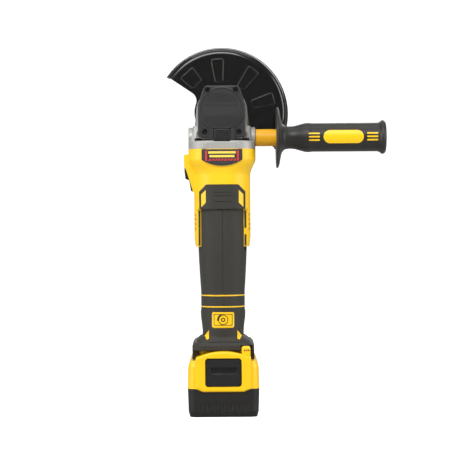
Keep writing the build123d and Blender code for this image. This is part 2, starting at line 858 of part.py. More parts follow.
def make_motor_housing():
    flow = [
        (neck_at, head_w, head_d, head_corner_r, 0),
        (neck_at + 4.0, 69.6, 61.2, 22.7, 0),
        (neck_at + 8.0, 65.6, 59.6, 23.8, 0),
        (neck_at + 12.0, 62.2, 57.9, 24.9, 0),
        (barrel_at, barrel_w, barrel_d, barrel_corner_r, 0),
    ]
    head = prism(head_section(), head_bottom, neck_at)
    barrel = prism(barrel_section(), barrel_at, ear_end - 10)
    tips = loft(
        [
            level(ear_end - 10, barrel_w, barrel_d, barrel_corner_r),
            level(ear_end, barrel_w - 2.6, barrel_d - 2.6, barrel_corner_r - 1.3),
        ],
        ruled=True,
    )
    pad = prism(head_section(), head_bottom, badge_low + 2.0) & badge_prism(0.7)
    side = make_face(Plane.XZ * Polyline(*fairing_outline(), close=True))
    fairing = Pos(0, motor_y + fairing_half_y, 0) * extrude(side, fairing_half_y * 2, dir=(0, -1, 0))
    fairing = fillet(fairing.edges().filter_by(Axis.Y).group_by(Axis.X)[0], 1.5)
    body = joined([head, tube_loft(flow), barrel, tips, pad, fairing])
    # the bore, wide at the fan and close on the stator
    body = body - motor_turned(
        [
            (0, 40),
            (fan_bore_r, 40),
            (fan_bore_r, 59.5),
            (housing_bore_r, 64.0),
            (housing_bore_r, housing_end),
            (0, housing_end),
        ]
    )
    # below the motor only two ears stay, outside the handle
    body = body - prism(grip_section(moving_gap - 0.1), housing_end, ear_end + 5)
    for side_y in (-1, 1):
        window = block(-60, 60, motor_y + side_y * ear_half_y, motor_y + side_y * 60, -housing_end, -200)
        body = body - window
        body = body - panel_shape(side_y, 3.0, -panel_recess, panel_half_w)
    # screw holes from the gear case
    for x, y in head_screw_places():
        body = body - rod_z(-head_bottom + 1, -head_top - 23, x, y, 2.05)
    # channel for the slider, and the groove for its rod
    reach = slider_half_y + moving_gap
    body = body - block(-60, -31.5, motor_y - reach, motor_y + reach, -50.4, -89.6)
    body = body - block(-32.2, -30.5, motor_y - 3.2, motor_y + 3.2, -60, -86.5)
    body = body - block(-31.0, -25.8, motor_y - 3.0, motor_y + 3.0, -61.4, -128.0)
    # air inlets in the flanks
    for side_y in (-1, 1):
        for i in range(4):
            z = -112.0 - i * 5.0
            body = body - block(-40, 40, motor_y + side_y * 5.2, motor_y + side_y * 13.0, z - 1.1, z + 1.1)
    save("motor_housing", body)


def panel_shape(side_y, out, into, half):
    """A shell on the front or back of the barrel, from panel_top to housing_end."""
    shell = prism(barrel_section(out), panel_top - 1, housing_end) - prism(
        barrel_section(into), panel_top - 2, housing_end + 1
    )
    tip = 7.5
    outline = [
        (-half + tip, -panel_top),
        (half - tip, -panel_top),
        (half, -panel_top - tip),
        (half, -housing_end),
        (-half, -housing_end),
        (-half, -panel_top - tip),
    ]
    face = front_plane(motor_y) * make_face(Polyline(*outline, close=True))
    return shell & extrude(face, -side_y * 60)


def make_grip_panels():
    """Rubber panels let into the housing, with knuckle ribs."""
    panels = []
    for side_y in (-1, 1):
        panel = panel_shape(side_y, 0.3, -panel_recess, panel_half_w)
        for z in (-88.6, -92.4, -98.6):
            edge = motor_y + side_y * (barrel_d / 2 - 0.3)
            panel = panel - block(-16, 16, edge, motor_y + side_y * 60, z - 0.45, z + 0.45)
        panels.append(panel)
    save("grip_panels", *panels)


def make_switch():
    slope = [
        (-31.7, slider_top_z()),
        (-38.4, slider_top_z()),
        (-40.4, slider_top_z() - 2.2),
        (-40.3, slider_top_z() - 7.0),
        (-39.3, slider_top_z() - 14.2),
        (-35.6, slider_top_z() - 15.9),
        (-35.0, slider_top_z() - 18.0),
        (-33.6, slider_top_z() - 27.0),
        (-32.6, slider_top_z() - 28.0),
        (-31.7, slider_top_z() - 28.0),
    ]
    face = make_face(Plane.XZ * Polyline(*slope, close=True))
    slider = Pos(0, motor_y + slider_half_y, 0) * extrude(face, slider_half_y * 2, dir=(0, -1, 0))
    for i in range(4):
        z = slider_top_z() - 3.4 - i * 1.9
        slider = slider - block(-60, -39.6, motor_y - 5.4, motor_y + 5.4, z - 0.4, z + 0.4)
    leg = block(-31.9, -30.4, motor_y - 2.4, motor_y + 2.4, -72.0, -78.0)
    save("switch_slider", slider + leg)
    bar = block(-29.9 - 0.5, -28.3, motor_y - 2.4, motor_y + 2.4, -70.0, -80.0)
    drop = block(-28.3, -26.3, motor_y - 2.4, motor_y + 2.4, -74.5, -124.6)
    toe = block(-26.3, -17.5, motor_y - rod_half, motor_y + rod_half, -122.4, -124.6)
    save("switch_rod", joined([bar, drop, toe]))
    body = block(-20.0, -7.0, motor_y - 6.0, motor_y + 6.0, -128.2, -146.0)
    body = fillet(body.edges().filter_by(Axis.Z), 1.0)
    save("micro_switch", body, block(-19.0, -16.0, motor_y - 1.4, motor_y + 1.4, -125.2, -128.2))


# ---------------------------------------------------------------- handle
def grip_section(grow=0.0):
    return RectangleRounded(grip_w + 2 * grow, grip_d + 2 * grow, grip_corner_r + grow)


def waist_section(grow=0.0):
    return RectangleRounded(waist_w + 2 * grow, waist_d + 2 * grow, waist_corner_r + grow)


def grip_tube(grow, start):
    """The handle's tube from under the motor to its tail."""
    flow = loft(
        [
            level(ear_end, grip_w + 2 * grow, grip_d + 2 * grow, grip_corner_r + grow),
            level(172.0, 49.6 + 2 * grow, 52.0 + 2 * grow, 23.2 + grow),
            level(waist_at, waist_w + 2 * grow, waist_d + 2 * grow, waist_corner_r + grow),
        ]
    )
    return joined(
        [prism(grip_section(grow), start, ear_end), flow, prism(waist_section(grow), waist_at, tail_top)]
    )


def tail_levels():
    return [
        (tail_top, 47.6, 51.4, 22.0, 0),
        (tail_top + 10, 46.8, 51.8, 22.0, 0),
        (foot_top - 8, 44.2, 52.6, 20.0, 0),
        (foot_top - 3.5, 44.4, 54.0, 19.0, 1.0),
    ]


def flare_levels():
    return [
        (foot_top - 3.5, 44.4, 54.0, 19.0, 1.0),
        (foot_top - 1.5, 50.0, 62.0, 17.0, 5.0),
        (foot_top + 1.5, 55.6, 74.0, 15.0, 10.0),
        (foot_shoulder - 1.0, 58.0, 92.0, 12.0, 20.0),
    ]


def foot_centre_y():
    return (foot_front_y + foot_back_y) / 2 - motor_y


def foot_block(inset):
    length = foot_back_y - foot_front_y
    levels = [
        (foot_shoulder - 2.0, foot_w - 5.0, length - 5.0, 11.0, foot_centre_y()),
        (foot_shoulder + 1.2, foot_w, length, 12.0, foot_centre_y()),
        (foot_bottom, foot_w + 0.4, length, 12.0, foot_centre_y()),
    ]
    return loft(
        [
            level(d, w - 2 * inset, ln - 2 * inset, c - inset * 0.5, y) for d, w, ln, c, y in levels
        ], ruled=True
    )


def handle_screw_places():
    """(y, z) of the screws that close the handle's halves."""
    return [
        (motor_y - 10.2, -148.0),
        (motor_y + 18.0, -158.0),
        (motor_y - 8.0, -222.0),
        (motor_y + 17.0, -222.0),
        (12.0, -253.5),
    ]


def make_handle():
    outer = joined(
        [
            grip_tube(0, housing_end + 0.15),
            tube_loft(tail_levels()),
            tube_loft(flare_levels()),
            foot_block(0),
        ]
    )
    room = grip_tube(-grip_wall, housing_end - 2)
    room = room + tube_loft(tail_levels(), inset=grip_wall + 0.5)
    foot_room = block(
        -foot_w / 2 + 5, foot_w / 2 - 5, -54, foot_back_y - 6, -foot_shoulder - 1.5, -tail_top - 20
    )
    room = room + (foot_room & tube_loft(flare_levels(), inset=grip_wall))
    shell = outer - room
    # the slot for the battery's rails, its neck, and the room over its tower
    shell = shell - block(
        -rail_half_w - moving_gap,
        rail_half_w + moving_gap,
        -200,
        rail_back_y + 0.6,
        -rail_top + 0.5,
        -rail_neck_top - moving_gap,
    )
    shell = shell - block(
        -rail_neck_half_w - moving_gap,
        rail_neck_half_w + moving_gap,
        -200,
        rail_back_y + 0.6,
        -rail_neck_top,
        -300,
    )
    shell = shell - block(-60, 60, -200, tower_back_y + 0.6, -tower_top + 0.6, -300)
    shell = shell - block(18.4, 30.6, -200, -68.0, -250.6, -258.0)
    # the opening between the rails' slot and the handle's inside, for the contacts
    shell = shell - block(-14.6, 14.6, -42.1, -7.9, -rail_top - 1, -terminal_top)
    # grooves for the accent bands, and the seat of the icon plate
    for depth in band_depths:
        slab = prism(waist_section(5.0), depth - band_w / 2, depth + band_w / 2)
        shell = shell - (slab - prism(waist_section(-0.7), depth - 5, depth + 5))
    shell = shell - plate_body(0.1)
    seam = block(-seam_half_w, seam_half_w, -200, 100, -housing_end, -tail_top)
    shell = shell - (seam - grip_tube(-seam_depth, housing_end - 1))
    shell = shell - block(-40, -20, motor_y - 3.0, motor_y + 3.0, -housing_end + 5, -128.0)
    bosses = [block(-25.0, -20.05, motor_y - 5.0, motor_y + 5.0, -130.0, -144.0) & outer]
    for y, z in handle_screw_places():
        bosses.append(rod_x(-21.0, 21.0, y, z, 3.6) & outer)
    shell = joined([shell] + bosses)
    left = shell & block(-60, 0, -200, 100, -330, -100)
    right = shell & block(0, 60, -200, 100, -330, -100)
    for y, z in handle_screw_places():
        hole = rod_x(-12.0, 60.0, y, z, 1.5)
        seat = rod_x(13.6, 60.0, y, z, 3.2)
        left = left - hole
        right = right - hole - seat
    save("handle_left", left)
    save("handle_right", right)
    screw = Plane(
        origin=(13.6, 0, 0), x_dir=(0, 1, 0), z_dir=(1, 0, 0)
    ).location * socket_screw(2.9, 2.2, 1.45, 22)
    save("handle_screws", *[Pos(0, y, z) * screw for y, z in handle_screw_places()])


def plate_body(grow):
    """The icon plate's solid, let into the tail's front."""
    face_y = motor_y - 26.4
    sketch = Pos(0, -plate_depth) * RectangleRounded(plate_w + 2 * grow, plate_h + 2 * grow, 1.6 + grow)
    return extrude(front_plane(face_y + 2.0 + grow) * sketch, 6.0) & tube_loft(
        [(d, w + 0.5, ln + 0.5, c, y) for d, w, ln, c, y in tail_levels()]
    )


def make_trim():
    bands = []
    for depth in band_depths:
        low, high = depth - band_w / 2 + 0.05, depth + band_w / 2 - 0.05
        bands.append(prism(waist_section(-0.12), low, high) - prism(waist_section(-0.7), low - 1, high + 1))
    save("accent_bands", *bands)
    save("icon_plate", plate_body(0.0))
    skin = prism(head_section(0.6), head_bottom, badge_low + 2) - prism(
        head_section(), head_bottom - 1, badge_low + 3
    )
    save("badge", skin & badge_prism(0.0))


# ---------------------------------------------------------------- electronics
def make_electronics():
    module = block(-18.3, 18.3, motor_y - 12, motor_y + 12, -152.0, -206.0)
    module = fillet(module.edges().filter_by(Axis.Z), 2.0)
    fins = [
        block(-13.0 + i * 3.7, -11.6 + i * 3.7, motor_y - 15.0, motor_y - 12, -163.0, -204.0)
        for i in range(8)
    ]
    save("control_module", joined([module] + fins))
    terminal = block(-14.5, 14.5, -42.0, -8.0, -foot_shoulder - 0.8, -terminal_top)
    blades = [
        block(x - 0.5, x + 0.5, -40.0, -22.0, -rail_top - 2.4, -foot_shoulder - 0.8)
        for x in (-11.0, -4.0, 4.0, 11.0)
    ]
    save("tool_terminals", terminal, *blades)
    motor_leads = [rod_z(-120.6, -152.0, x, motor_y + 10.0, 1.5) for x in (-5.0, 0.0, 5.0)]
    pack_leads = [rod_z(-206.0, -terminal_top, x, motor_y + 9.6, 1.7) for x in (-6.0, 6.0)]
    save("leads", *motor_leads, *pack_leads)


# ---------------------------------------------------------------- battery
def battery_mid_y():
    return battery_front_y + battery_l / 2


def battery_level(depth, inset, corner):
    return Pos(0, battery_mid_y(), -depth) * RectangleRounded(
        battery_w - 2 * inset, battery_l - 2 * inset, corner
    )


def tower_outline(grow):
    """The front outline of the tower around the latch, in x and z."""
    half = tower_half_w + grow
    top = -tower_top + grow
    low = -battery_split - 3.2
    sketch = make_face(
        Polyline(
            (-half, top - 7.0),
            (-half, low + 3.2),
            (-half + 8, low),
            (half - 8, low),
            (half, low + 3.2),
            (half, top - 7.0),
        )
        + ThreePointArc((half, top - 7.0), (0, top), (-half, top - 7.0))
    )
    return fillet(sketch.vertices().group_by(Axis.Y)[0], 2.0)


def tower_solid(grow):
    return extrude(
        front_plane(tower_back_y + grow) * tower_outline(grow),
        tower_back_y - battery_front_y + 3.0 + 2 * grow,
    )


def battery_room(low, high):
    """The room inside the pack's walls, between two levels."""
    half_w = battery_w / 2 - battery_wall
    half_l = battery_l / 2 - battery_wall
    room = Pos(0, battery_mid_y(), 0) * block(-half_w, half_w, -half_l, half_l, low, high)
    return fillet(room.edges().filter_by(Axis.Z), 6.0)


def make_battery_cases():
    top_levels = [
        battery_level(battery_split, 0.0, 9.0),
        battery_level(battery_top + 6.5, 0.5, 9.0),
        battery_level(battery_top, 2.6, 7.0),
    ]
    shell = loft(top_levels, ruled=True)
    tower = tower_solid(0.0)
    tower = fillet(tower.edges().group_by(Axis.Y)[0], 2.2)
    cavity = battery_room(-battery_split - 10, -battery_top - 4.0)
    neck = block(
        -rail_neck_half_w,
        rail_neck_half_w,
        rail_front_y,
        rail_back_y,
        -battery_top - 1,
        -rail_neck_top,
    )
    rails = block(-rail_half_w, rail_half_w, rail_front_y, rail_back_y, -rail_neck_top, -rail_top)
    bump = block(19.4, 28.6, battery_front_y + 1.0, -70.0, -266, -251.2)
    bump = fillet(bump.edges().group_by(Axis.Z)[-1], 2.6)
    link = block(
        -rail_neck_half_w,
        rail_neck_half_w,
        tower_back_y - 4,
        rail_front_y + 1,
        -battery_top - 1,
        -rail_neck_top - moving_gap,
    )
    cover = joined([shell, tower, neck, rails, bump, link])
    cover = cover - cavity
    wall = latch_room_depth + 1.3
    backing = block(
        -latch_half_w - 3,
        latch_half_w + 3,
        battery_front_y + 1,
        battery_front_y + wall,
        -battery_split,
        -latch_high + 2,
    )
    cover = cover + backing - latch_room()
    for x, y in battery_screw_places():
        cover = cover + rod_z(-battery_split, -battery_top - 3.5, x, y, 2.8)
        cover = cover - rod_z(-battery_split - 5, -battery_split + 9.0, x, y, 1.45)
    # slots for the tool's contact blades
    for x in (-11.0, -4.0, 4.0, 11.0):
        cover = cover - block(x - 1.2, x + 1.2, -41.5, 60, -rail_top - 4.2, -rail_top + 1)
    cover = cover - block(21.0, 27.0, -80.6, -74.4, -256.0, -251.0)
    save("battery_cover", cover)
    base_levels = [
        battery_level(battery_split, 0.0, 9.0),
        battery_level(battery_bottom - 6, 0.8, 9.0),
        battery_level(battery_bottom, 2.4, 8.0),
    ]
    base = loft(base_levels, ruled=True)
    inner = battery_room(-battery_bottom + 3.0, -battery_split + 1)
    # the base keeps clear of the tower's low front
    base = base - inner - tower_solid(0.08)
    for i in range(7):
        x = -24.0 + i * 8.0
        for y in (battery_front_y - 0.9, battery_front_y + battery_l + 0.9):
            base = base - rod_z(-battery_bottom - 1, -battery_bottom + 13.5, x, y, 2.6)
    for i in range(5):
        y = battery_mid_y() - 40.0 + i * 20.0
        for side in (-1, 1):
            base = base - rod_z(
                -battery_bottom - 1, -battery_bottom + 12.0, side * (battery_w / 2 + 0.6), y, 2.6
            )
    for x, y in battery_screw_places():
        base = base + rod_z(-battery_bottom + 2, -battery_split, x, y, 2.8)
        base = base - rod_z(-battery_bottom - 1, -battery_split + 5, x, y, 1.6)
        base = base - rod_z(-battery_bottom - 1, -battery_bottom + 1.8, x, y, 2.4)
    save("battery_base", base)


def battery_screw_places():
    return [(side * 28.8, y) for side in (-1, 1) for y in (battery_front_y + 7.0, 26.0)]


def latch_room():
    half = latch_half_w + 0.4
    front = block(
        -half,
        half,
        battery_front_y - 10,
        battery_front_y + latch_room_depth,
        -latch_low - 0.4,
        -latch_high + 0.4,
    )
    return fillet(front.edges().filter_by(Axis.Y), 3.4)


def make_latch():
    front_y = battery_front_y - 1.6
    back_y = battery_front_y + 6.0
    half = latch_half_w
    button = block(-half, half, front_y, back_y, -latch_low, -latch_high)
    button = fillet(button.edges().filter_by(Axis.Y), 3.0)
    button = fillet(button.edges().group_by(Axis.Y)[0], 0.8)
    scoop = block(-half + 4.4, half - 4.4, front_y - 1, front_y + 5.0, -281.6, -273.4)
    scoop = fillet(scoop.edges().group_by(Axis.Y)[-1], 1.6)
    button = button - scoop
    spring_seat = rod_y(back_y - 1.5, back_y + 1, 0, -279.0, 4.4)
    save("battery_latch", button - spring_seat)
    start = back_y - 1.5
    length = battery_front_y + latch_room_depth - start
    spring = Plane(
        origin=(0, start, -279.0), x_dir=(1, 0, 0), z_dir=(0, 1, 0)
    ).location * coil_spring(3.4, 0.5, length, 3)
    save("latch_spring", spring)


def make_battery_inside():
    mid = battery_mid_y()
    cells_y = mid + 2.5
    low = -battery_bottom + 3.4 + cell_r
    cells = []
    for row in range(2):
        for i in range(5):
            y = cells_y + (i - 2) * cell_pitch
            cells.append(rod_x(-cell_len / 2, cell_len / 2, y, low + row * cell_pitch, cell_r))
    save("cells", *cells)
    frames = []
    holes = [(cells_y + (i - 2) * cell_pitch, low + row * cell_pitch) for row in range(2) for i in range(5)]
    for side in (-1, 1):
        frame = block(
            side * 24.0,
            side * 31.5,
            cells_y - 2.5 * cell_pitch - 0.6,
            cells_y + 2.5 * cell_pitch + 0.6,
            low - cell_r - 0.3,
            low + cell_pitch + cell_r + 0.3,
        )
        for y, z in holes:
            frame = frame - rod_x(side * 20.0, side * 33.0, y, z, cell_r + 0.05)
        for x, y in battery_screw_places():
            frame = frame - rod_z(-330, -250, x, y, 3.1)
        frames.append(frame)
    save("cell_frames", *frames)
    straps = []
    for side in (-1, 1):
        for row in range(2):
            z = low + row * cell_pitch
            straps.append(
                block(
                    side * cell_len / 2,
                    side * (cell_len / 2 + 0.3),
                    cells_y - 2 * cell_pitch - 4,
                    cells_y + 2 * cell_pitch + 4,
                    z - 4,
                    z + 4,
                )
            )
    save("cell_straps", *straps)
    board_z = low + cell_pitch + cell_r + 0.3
    board = block(-27.0, 27.0, mid - 38.0, mid + 46.0, board_z, board_z + 1.6)
    chips = [
        block(x - 4, x + 4, y - 4, y + 4, board_z + 1.6, board_z + 3.0)
        for x in (-10, 10)
        for y in (mid, mid + 22.0)
    ]
    save("battery_board", joined([board] + chips))
    screw = Rot(180, 0, 0) * socket_screw(2.25, 1.6, 1.4, 34.0)
    save("battery_screws", *[Pos(x, y, -battery_bottom + 1.8) * screw for x, y in battery_screw_places()])
    save(
        "gauge_button",
        fillet(block(21.3, 26.7, -80.3, -74.7, -254.2, -250.8).edges().group_by(Axis.Z)[-1], 0.5),
    )


# ---------------------------------------------------------------- side handle
def grip_profile():
    """The grip's outline (x, radius), with its flange, neck, barrel and end bead."""
    x = collar_end_x
    flange = Line((x, core_r + 0.1), (x, grip_flange_r - 0.8))
    tip = ThreePointArc((x, grip_flange_r - 0.8), (x + 1.2, grip_flange_r), (x + 2.3, grip_flange_r - 0.9))
    neck = Spline(
        (x + 2.3, grip_flange_r - 0.9),
        (x + 5.2, 19.4),
        (x + 8.2, 13.6),
        (x + 14.0, grip_neck_r),
        (x + 20.0, grip_neck_r + 0.5),
        (x + 29.5, grip_r - 0.2),
        (x + 38.0, grip_r),
    )
    barrel = Line((x + 38.0, grip_r), (grip_end_x - 12.0, grip_r + 0.1))
    bead = Spline(
        (grip_end_x - 12.0, grip_r + 0.1),
        (grip_end_x - 7.2, grip_r + 0.7),
        (grip_end_x - 3.6, grip_r + 2.9),
        (grip_end_x - 1.0, grip_r + 1.6),
        (grip_end_x, grip_r - 1.0),
        tangents=[(1, 0), (0.1, -1)],
    )
    close = Polyline((grip_end_x, grip_r - 1.0), (grip_end_x, core_r + 0.1), (x, core_r + 0.1))
    return make_face(flange + tip + neck + barrel + bead + close)


def make_side_handle():
    grip = Pos(0, motor_y, handle_z) * revolve(grip_profile(), Axis.X)
    inlays, pockets = [], []
    mid_x = 130.0
    for side in (-1, 1):
        face_y = motor_y + side * grip_r
        oval = extrude(front_plane(motor_y) * Pos(mid_x, handle_z) * SlotOverall(43.0, 14.2), -side * 40)
        bars = [
            extrude(front_plane(motor_y) * Pos(x, handle_z + dz) * SlotOverall(12.0, 1.7), -side * 40)
            for x in (98.6, 161.0)
            for dz in (-3.6, 0.0, 3.6)
        ]
        # Everything stands within a tube just under and over the grip's surface.
        for shape in [oval] + bars:
            inlays.append(shape & ring_x(grip_r - 1.0, grip_r + 0.15))
            pockets.append(shape & ring_x(grip_r - 1.0, grip_r + 3.0))
    for pocket in pockets:
        grip = grip - pocket
    save("side_handle_grip", grip)
    save("side_handle_inlays", *inlays)
    core = handle_turned(
        [
            (collar_end_x + 0.2, core_bore_r),
            (collar_end_x + 0.2, core_r),
            (grip_end_x - 3.0, core_r),
            (grip_end_x - 3.0, 0),
            (grip_end_x - 6.0, 0),
            (grip_end_x - 6.0, core_bore_r),
        ]
    )
    save("side_handle_core", core)
    collar = handle_turned(
        [
            (boss_x + 0.15, stud_r + 0.1),
            (boss_x + 0.15, collar_r - 0.4),
            (boss_x + 0.6, collar_r),
            (collar_end_x, collar_r),
            (collar_end_x, stud_r + 0.1),
        ]
    )
    save("side_handle_collar", collar)
    stud = handle_turned(
        [
            (boss_x - stud_grip + 0.6, 0),
            (boss_x - stud_grip + 0.6, stud_r - 1.0),
            (boss_x - stud_grip + 1.6, stud_r),
            (collar_end_x + 34.0, stud_r),
            (collar_end_x + 34.0, 0),
        ]
    )
    save("side_handle_stud", stud)
    damper = handle_turned(
        [
            (collar_end_x + 0.4, stud_r + 0.1),
            (collar_end_x + 0.4, core_bore_r - 0.03),
            (collar_end_x + 33.0, core_bore_r - 0.03),
            (collar_end_x + 33.0, stud_r + 0.1),
        ]
    )
    save("side_handle_damper", damper)


def ring_x(r_in, r_out):
    """A tube along the side handle's axis."""
    return Pos(0, motor_y, handle_z) * (
        Pos(120, 0, 0) * Rot(0, 90, 0) * (Cylinder(r_out, 160) - Cylinder(r_in, 170))
    )


# ---------------------------------------------------------------- guard
def guard_turned_about_rest(shape):
    """Turns a shape made about +Z to the guard's rest direction."""
    return Rot(0, 90 - guard_mid_angle, 0) * shape


def make_guard():
    back = guard_top_y + guard_t
    y0 = guard_top_y
    shoulder = guard_shoulder_r
    outer = (
        Line((guard_ring_r - 1, y0), (guard_r - shoulder, y0))
        + RadiusArc((guard_r - shoulder, y0), (guard_r, y0 + shoulder), -shoulder)
        + Line((guard_r, y0 + shoulder), (guard_r, guard_rim_y - 3.4))
        + Line((guard_r, guard_rim_y - 3.4), (guard_lip_r, guard_rim_y - 1.0))
        + Line((guard_lip_r, guard_rim_y - 1.0), (guard_lip_r, guard_rim_y))
        + Line((guard_lip_r, guard_rim_y), (guard_r - guard_t + 0.4, guard_rim_y - 1.2))
        + Line((guard_r - guard_t + 0.4, guard_rim_y - 1.2), (guard_r - guard_t, guard_rim_y - 3.4))
        + Line((guard_r - guard_t, guard_rim_y - 3.4), (guard_r - guard_t, y0 + shoulder))
        + RadiusArc((guard_r - guard_t, y0 + shoulder), (guard_r - shoulder, back), shoulder - guard_t)
        + Line((guard_r - shoulder, back), (guard_ring_r - 1, back))
        + Line((guard_ring_r - 1, back), (guard_ring_r - 1, y0))
    )
    sector = revolve(make_face(outer), Axis.Y, revolution_arc=guard_span)
    # the revolve starts at +X and turns about +Y, so it is brought to be centred on +Z
    sector = centred_on_z(sector)
    hub = ring(guard_ring_r - 1, guard_hub_r, y0, back, spindle_turned)
    pads = [Rot(0, a, 0) * pad_shape(33.5, 59.5, 4.6, 7.4) for a in pad_angles]
    pads.append(Rot(0, label_pad_angle, 0) * pad_shape(40.5, 59.0, 7.4, 9.6))
    plate = joined([sector, hub, guard_throats()] + pads)
    plate = plate - rod_y(-60, 60, 0, 0, neck_r + slip_gap)
    band = ring(neck_r + slip_gap, guard_ring_r, box_back_y + 1.2, back, spindle_turned)
    lugs = [
        ring(neck_r - 1.2, neck_r + 0.4, groove_y0 + 0.4, groove_y1 - 0.4, spindle_turned)
        & (Rot(0, a, 0) * block(-5, 5, -40, 0, 10, 40))
        for a in (0, 120, 240)
    ]
    guard = joined([plate, band] + lugs)
    save("guard", guard_turned_about_rest(guard))


def centred_on_z(sector):
    """Turns a half-turn sector about Y so that its middle is on +Z."""
    centre = sector.center()
    angle = degrees(atan2(centre.X, centre.Z))
    return Rot(0, -angle, 0) * sector


def guard_throats():
    """The plate's round inner corners, where the sector runs into its hub."""
    outer = guard_r - guard_shoulder_r - 1.0
    half = Circle(outer) & (Pos(0, outer) * Rectangle(2 * outer, 2 * outer))
    sketch = half + Circle(guard_hub_r)
    corners = [v for v in sketch.vertices() if abs(abs(v.X) - guard_hub_r) < 0.5 and abs(v.Y) < 0.5]
    sketch = fillet(corners, guard_throat_r)
    return extrude(front_plane(guard_top_y + guard_t) * sketch, guard_t)


def pad_shape(inner, outer, half_in, half_out):
    """A pressed pad on the guard's plate, along +Z, standing proud towards the tool."""
    outline = make_face(
        Polyline((-half_in, inner), (half_in, inner), (half_out, outer), (-half_out, outer), close=True)
    )
    outline = fillet(outline.vertices(), 2.6)
    return extrude(front_plane(guard_top_y + 0.3) * outline, pad_rise + 0.3, taper=30)


def make_guard_lever():
    x, z = lever_pivot
    y_low, y_high = box_back_y + 1.2, guard_top_y - 0.9 - pad_rise
    arm = make_hull([(Pos(x, z) * Circle(3.8)).edge(), (Pos(-17.9, -16.2) * Circle(1.1)).edge()])
    tab = make_hull([(Pos(x, z) * Circle(3.2)).edge(), (Pos(-33.4, -25.4) * Circle(1.6)).edge()])
    lever = extrude(front_plane(y_high) * (arm + tab), y_high - y_low)
    lever = lever - rod_y(-60, 0, x, z, 1.5 + running_gap)
    lever = lever - rod_y(-60, 0, 0, 0, guard_ring_r + moving_gap)
    save("guard_lever", lever)
    save("lever_pin", rod_y(box_back_y - 4.0, y_high + 0.5, x, z, 1.5))


def main():
    make_spindle()
    make_crown_gear()
    make_spindle_rings()
    make_spindle_bearings()
    make_flanges()
    make_gear_case()
    make_bearing_box()
    make_case_screws()
    make_gear_cover()
    make_spindle_lock()
    make_pinion()
    make_rotor()
    make_fan()
    make_motor_bearings()
    make_stator()
    make_motor_mounts()
    make_motor_housing()
    make_grip_panels()
    make_switch()
    make_handle()
    make_trim()
    make_electronics()
    make_battery_cases()
    make_latch()
    make_battery_inside()
    make_side_handle()
    make_guard()
    make_guard_lever()


if __name__ == "__main__":
    main()
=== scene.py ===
"""Looks of a cordless angle grinder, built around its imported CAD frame.

Everything is in metres. The origin is on the spindle's axis at the disc's seat, +Y points out of the
spindle, +Z from the battery up to the gear head and +X towards the side handle.
"""

import logging
import math
from collections.abc import Callable, Iterable, Sequence
from dataclasses import dataclass, field
from enum import Enum

import bmesh
import bpy
from mathutils import Matrix, Vector
from mathutils.bvhtree import BVHTree


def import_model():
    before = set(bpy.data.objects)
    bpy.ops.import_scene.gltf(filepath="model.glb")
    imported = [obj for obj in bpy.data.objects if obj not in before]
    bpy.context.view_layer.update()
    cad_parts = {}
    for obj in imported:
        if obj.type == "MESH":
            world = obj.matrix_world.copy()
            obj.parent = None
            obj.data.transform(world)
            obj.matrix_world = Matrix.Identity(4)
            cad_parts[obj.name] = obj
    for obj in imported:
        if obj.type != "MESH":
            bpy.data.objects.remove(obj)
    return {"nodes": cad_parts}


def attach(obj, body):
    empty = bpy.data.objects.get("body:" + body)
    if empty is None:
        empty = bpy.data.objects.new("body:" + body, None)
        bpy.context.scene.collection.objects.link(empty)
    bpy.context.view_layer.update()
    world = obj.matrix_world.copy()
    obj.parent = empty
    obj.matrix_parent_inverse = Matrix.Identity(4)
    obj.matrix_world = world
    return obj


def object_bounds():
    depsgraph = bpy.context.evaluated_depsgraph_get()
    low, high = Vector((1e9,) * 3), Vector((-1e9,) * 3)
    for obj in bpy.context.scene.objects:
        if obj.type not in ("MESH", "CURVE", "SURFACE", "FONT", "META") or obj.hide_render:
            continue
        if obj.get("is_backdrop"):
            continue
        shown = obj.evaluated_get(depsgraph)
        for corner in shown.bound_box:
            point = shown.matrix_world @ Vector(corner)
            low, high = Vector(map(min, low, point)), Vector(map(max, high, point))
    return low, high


log = logging.getLogger("grinder")
DUST_COLOUR = "b8b0a0"
PROBE_BACK_OFF = 0.3  # how far outside a point a probe starts
PROBE_LENGTH = 0.6
SAME_POINT = 1e-6  # corners closer than this are one


class Body(Enum):
    """The rigid bodies that the new pieces ride on."""

    HOUSING = "housing"
    BATTERY = "battery"


class Side(Enum):
    """The side of the tool that a skin patch lies on: the way a probe looks for the surface."""

    FRONT = (0.0, 1.0, 0.0)
    BACK = (0.0, -1.0, 0.0)


def linear(value: str) -> tuple[float, float, float, float]:
    """Turns a display colour such as "ffcb2b" into linear light.

    Args:
        value: six hexadecimal digits.

    Returns:
        Red, green, blue and an alpha of 1.
    """
    parts = [int(value[i : i + 2], 16) / 255 for i in (0, 2, 4)]
    light = [p / 12.92 if p <= 0.04045 else ((p + 0.055) / 1.055) ** 2.4 for p in parts]
    return (light[0], light[1], light[2], 1.0)


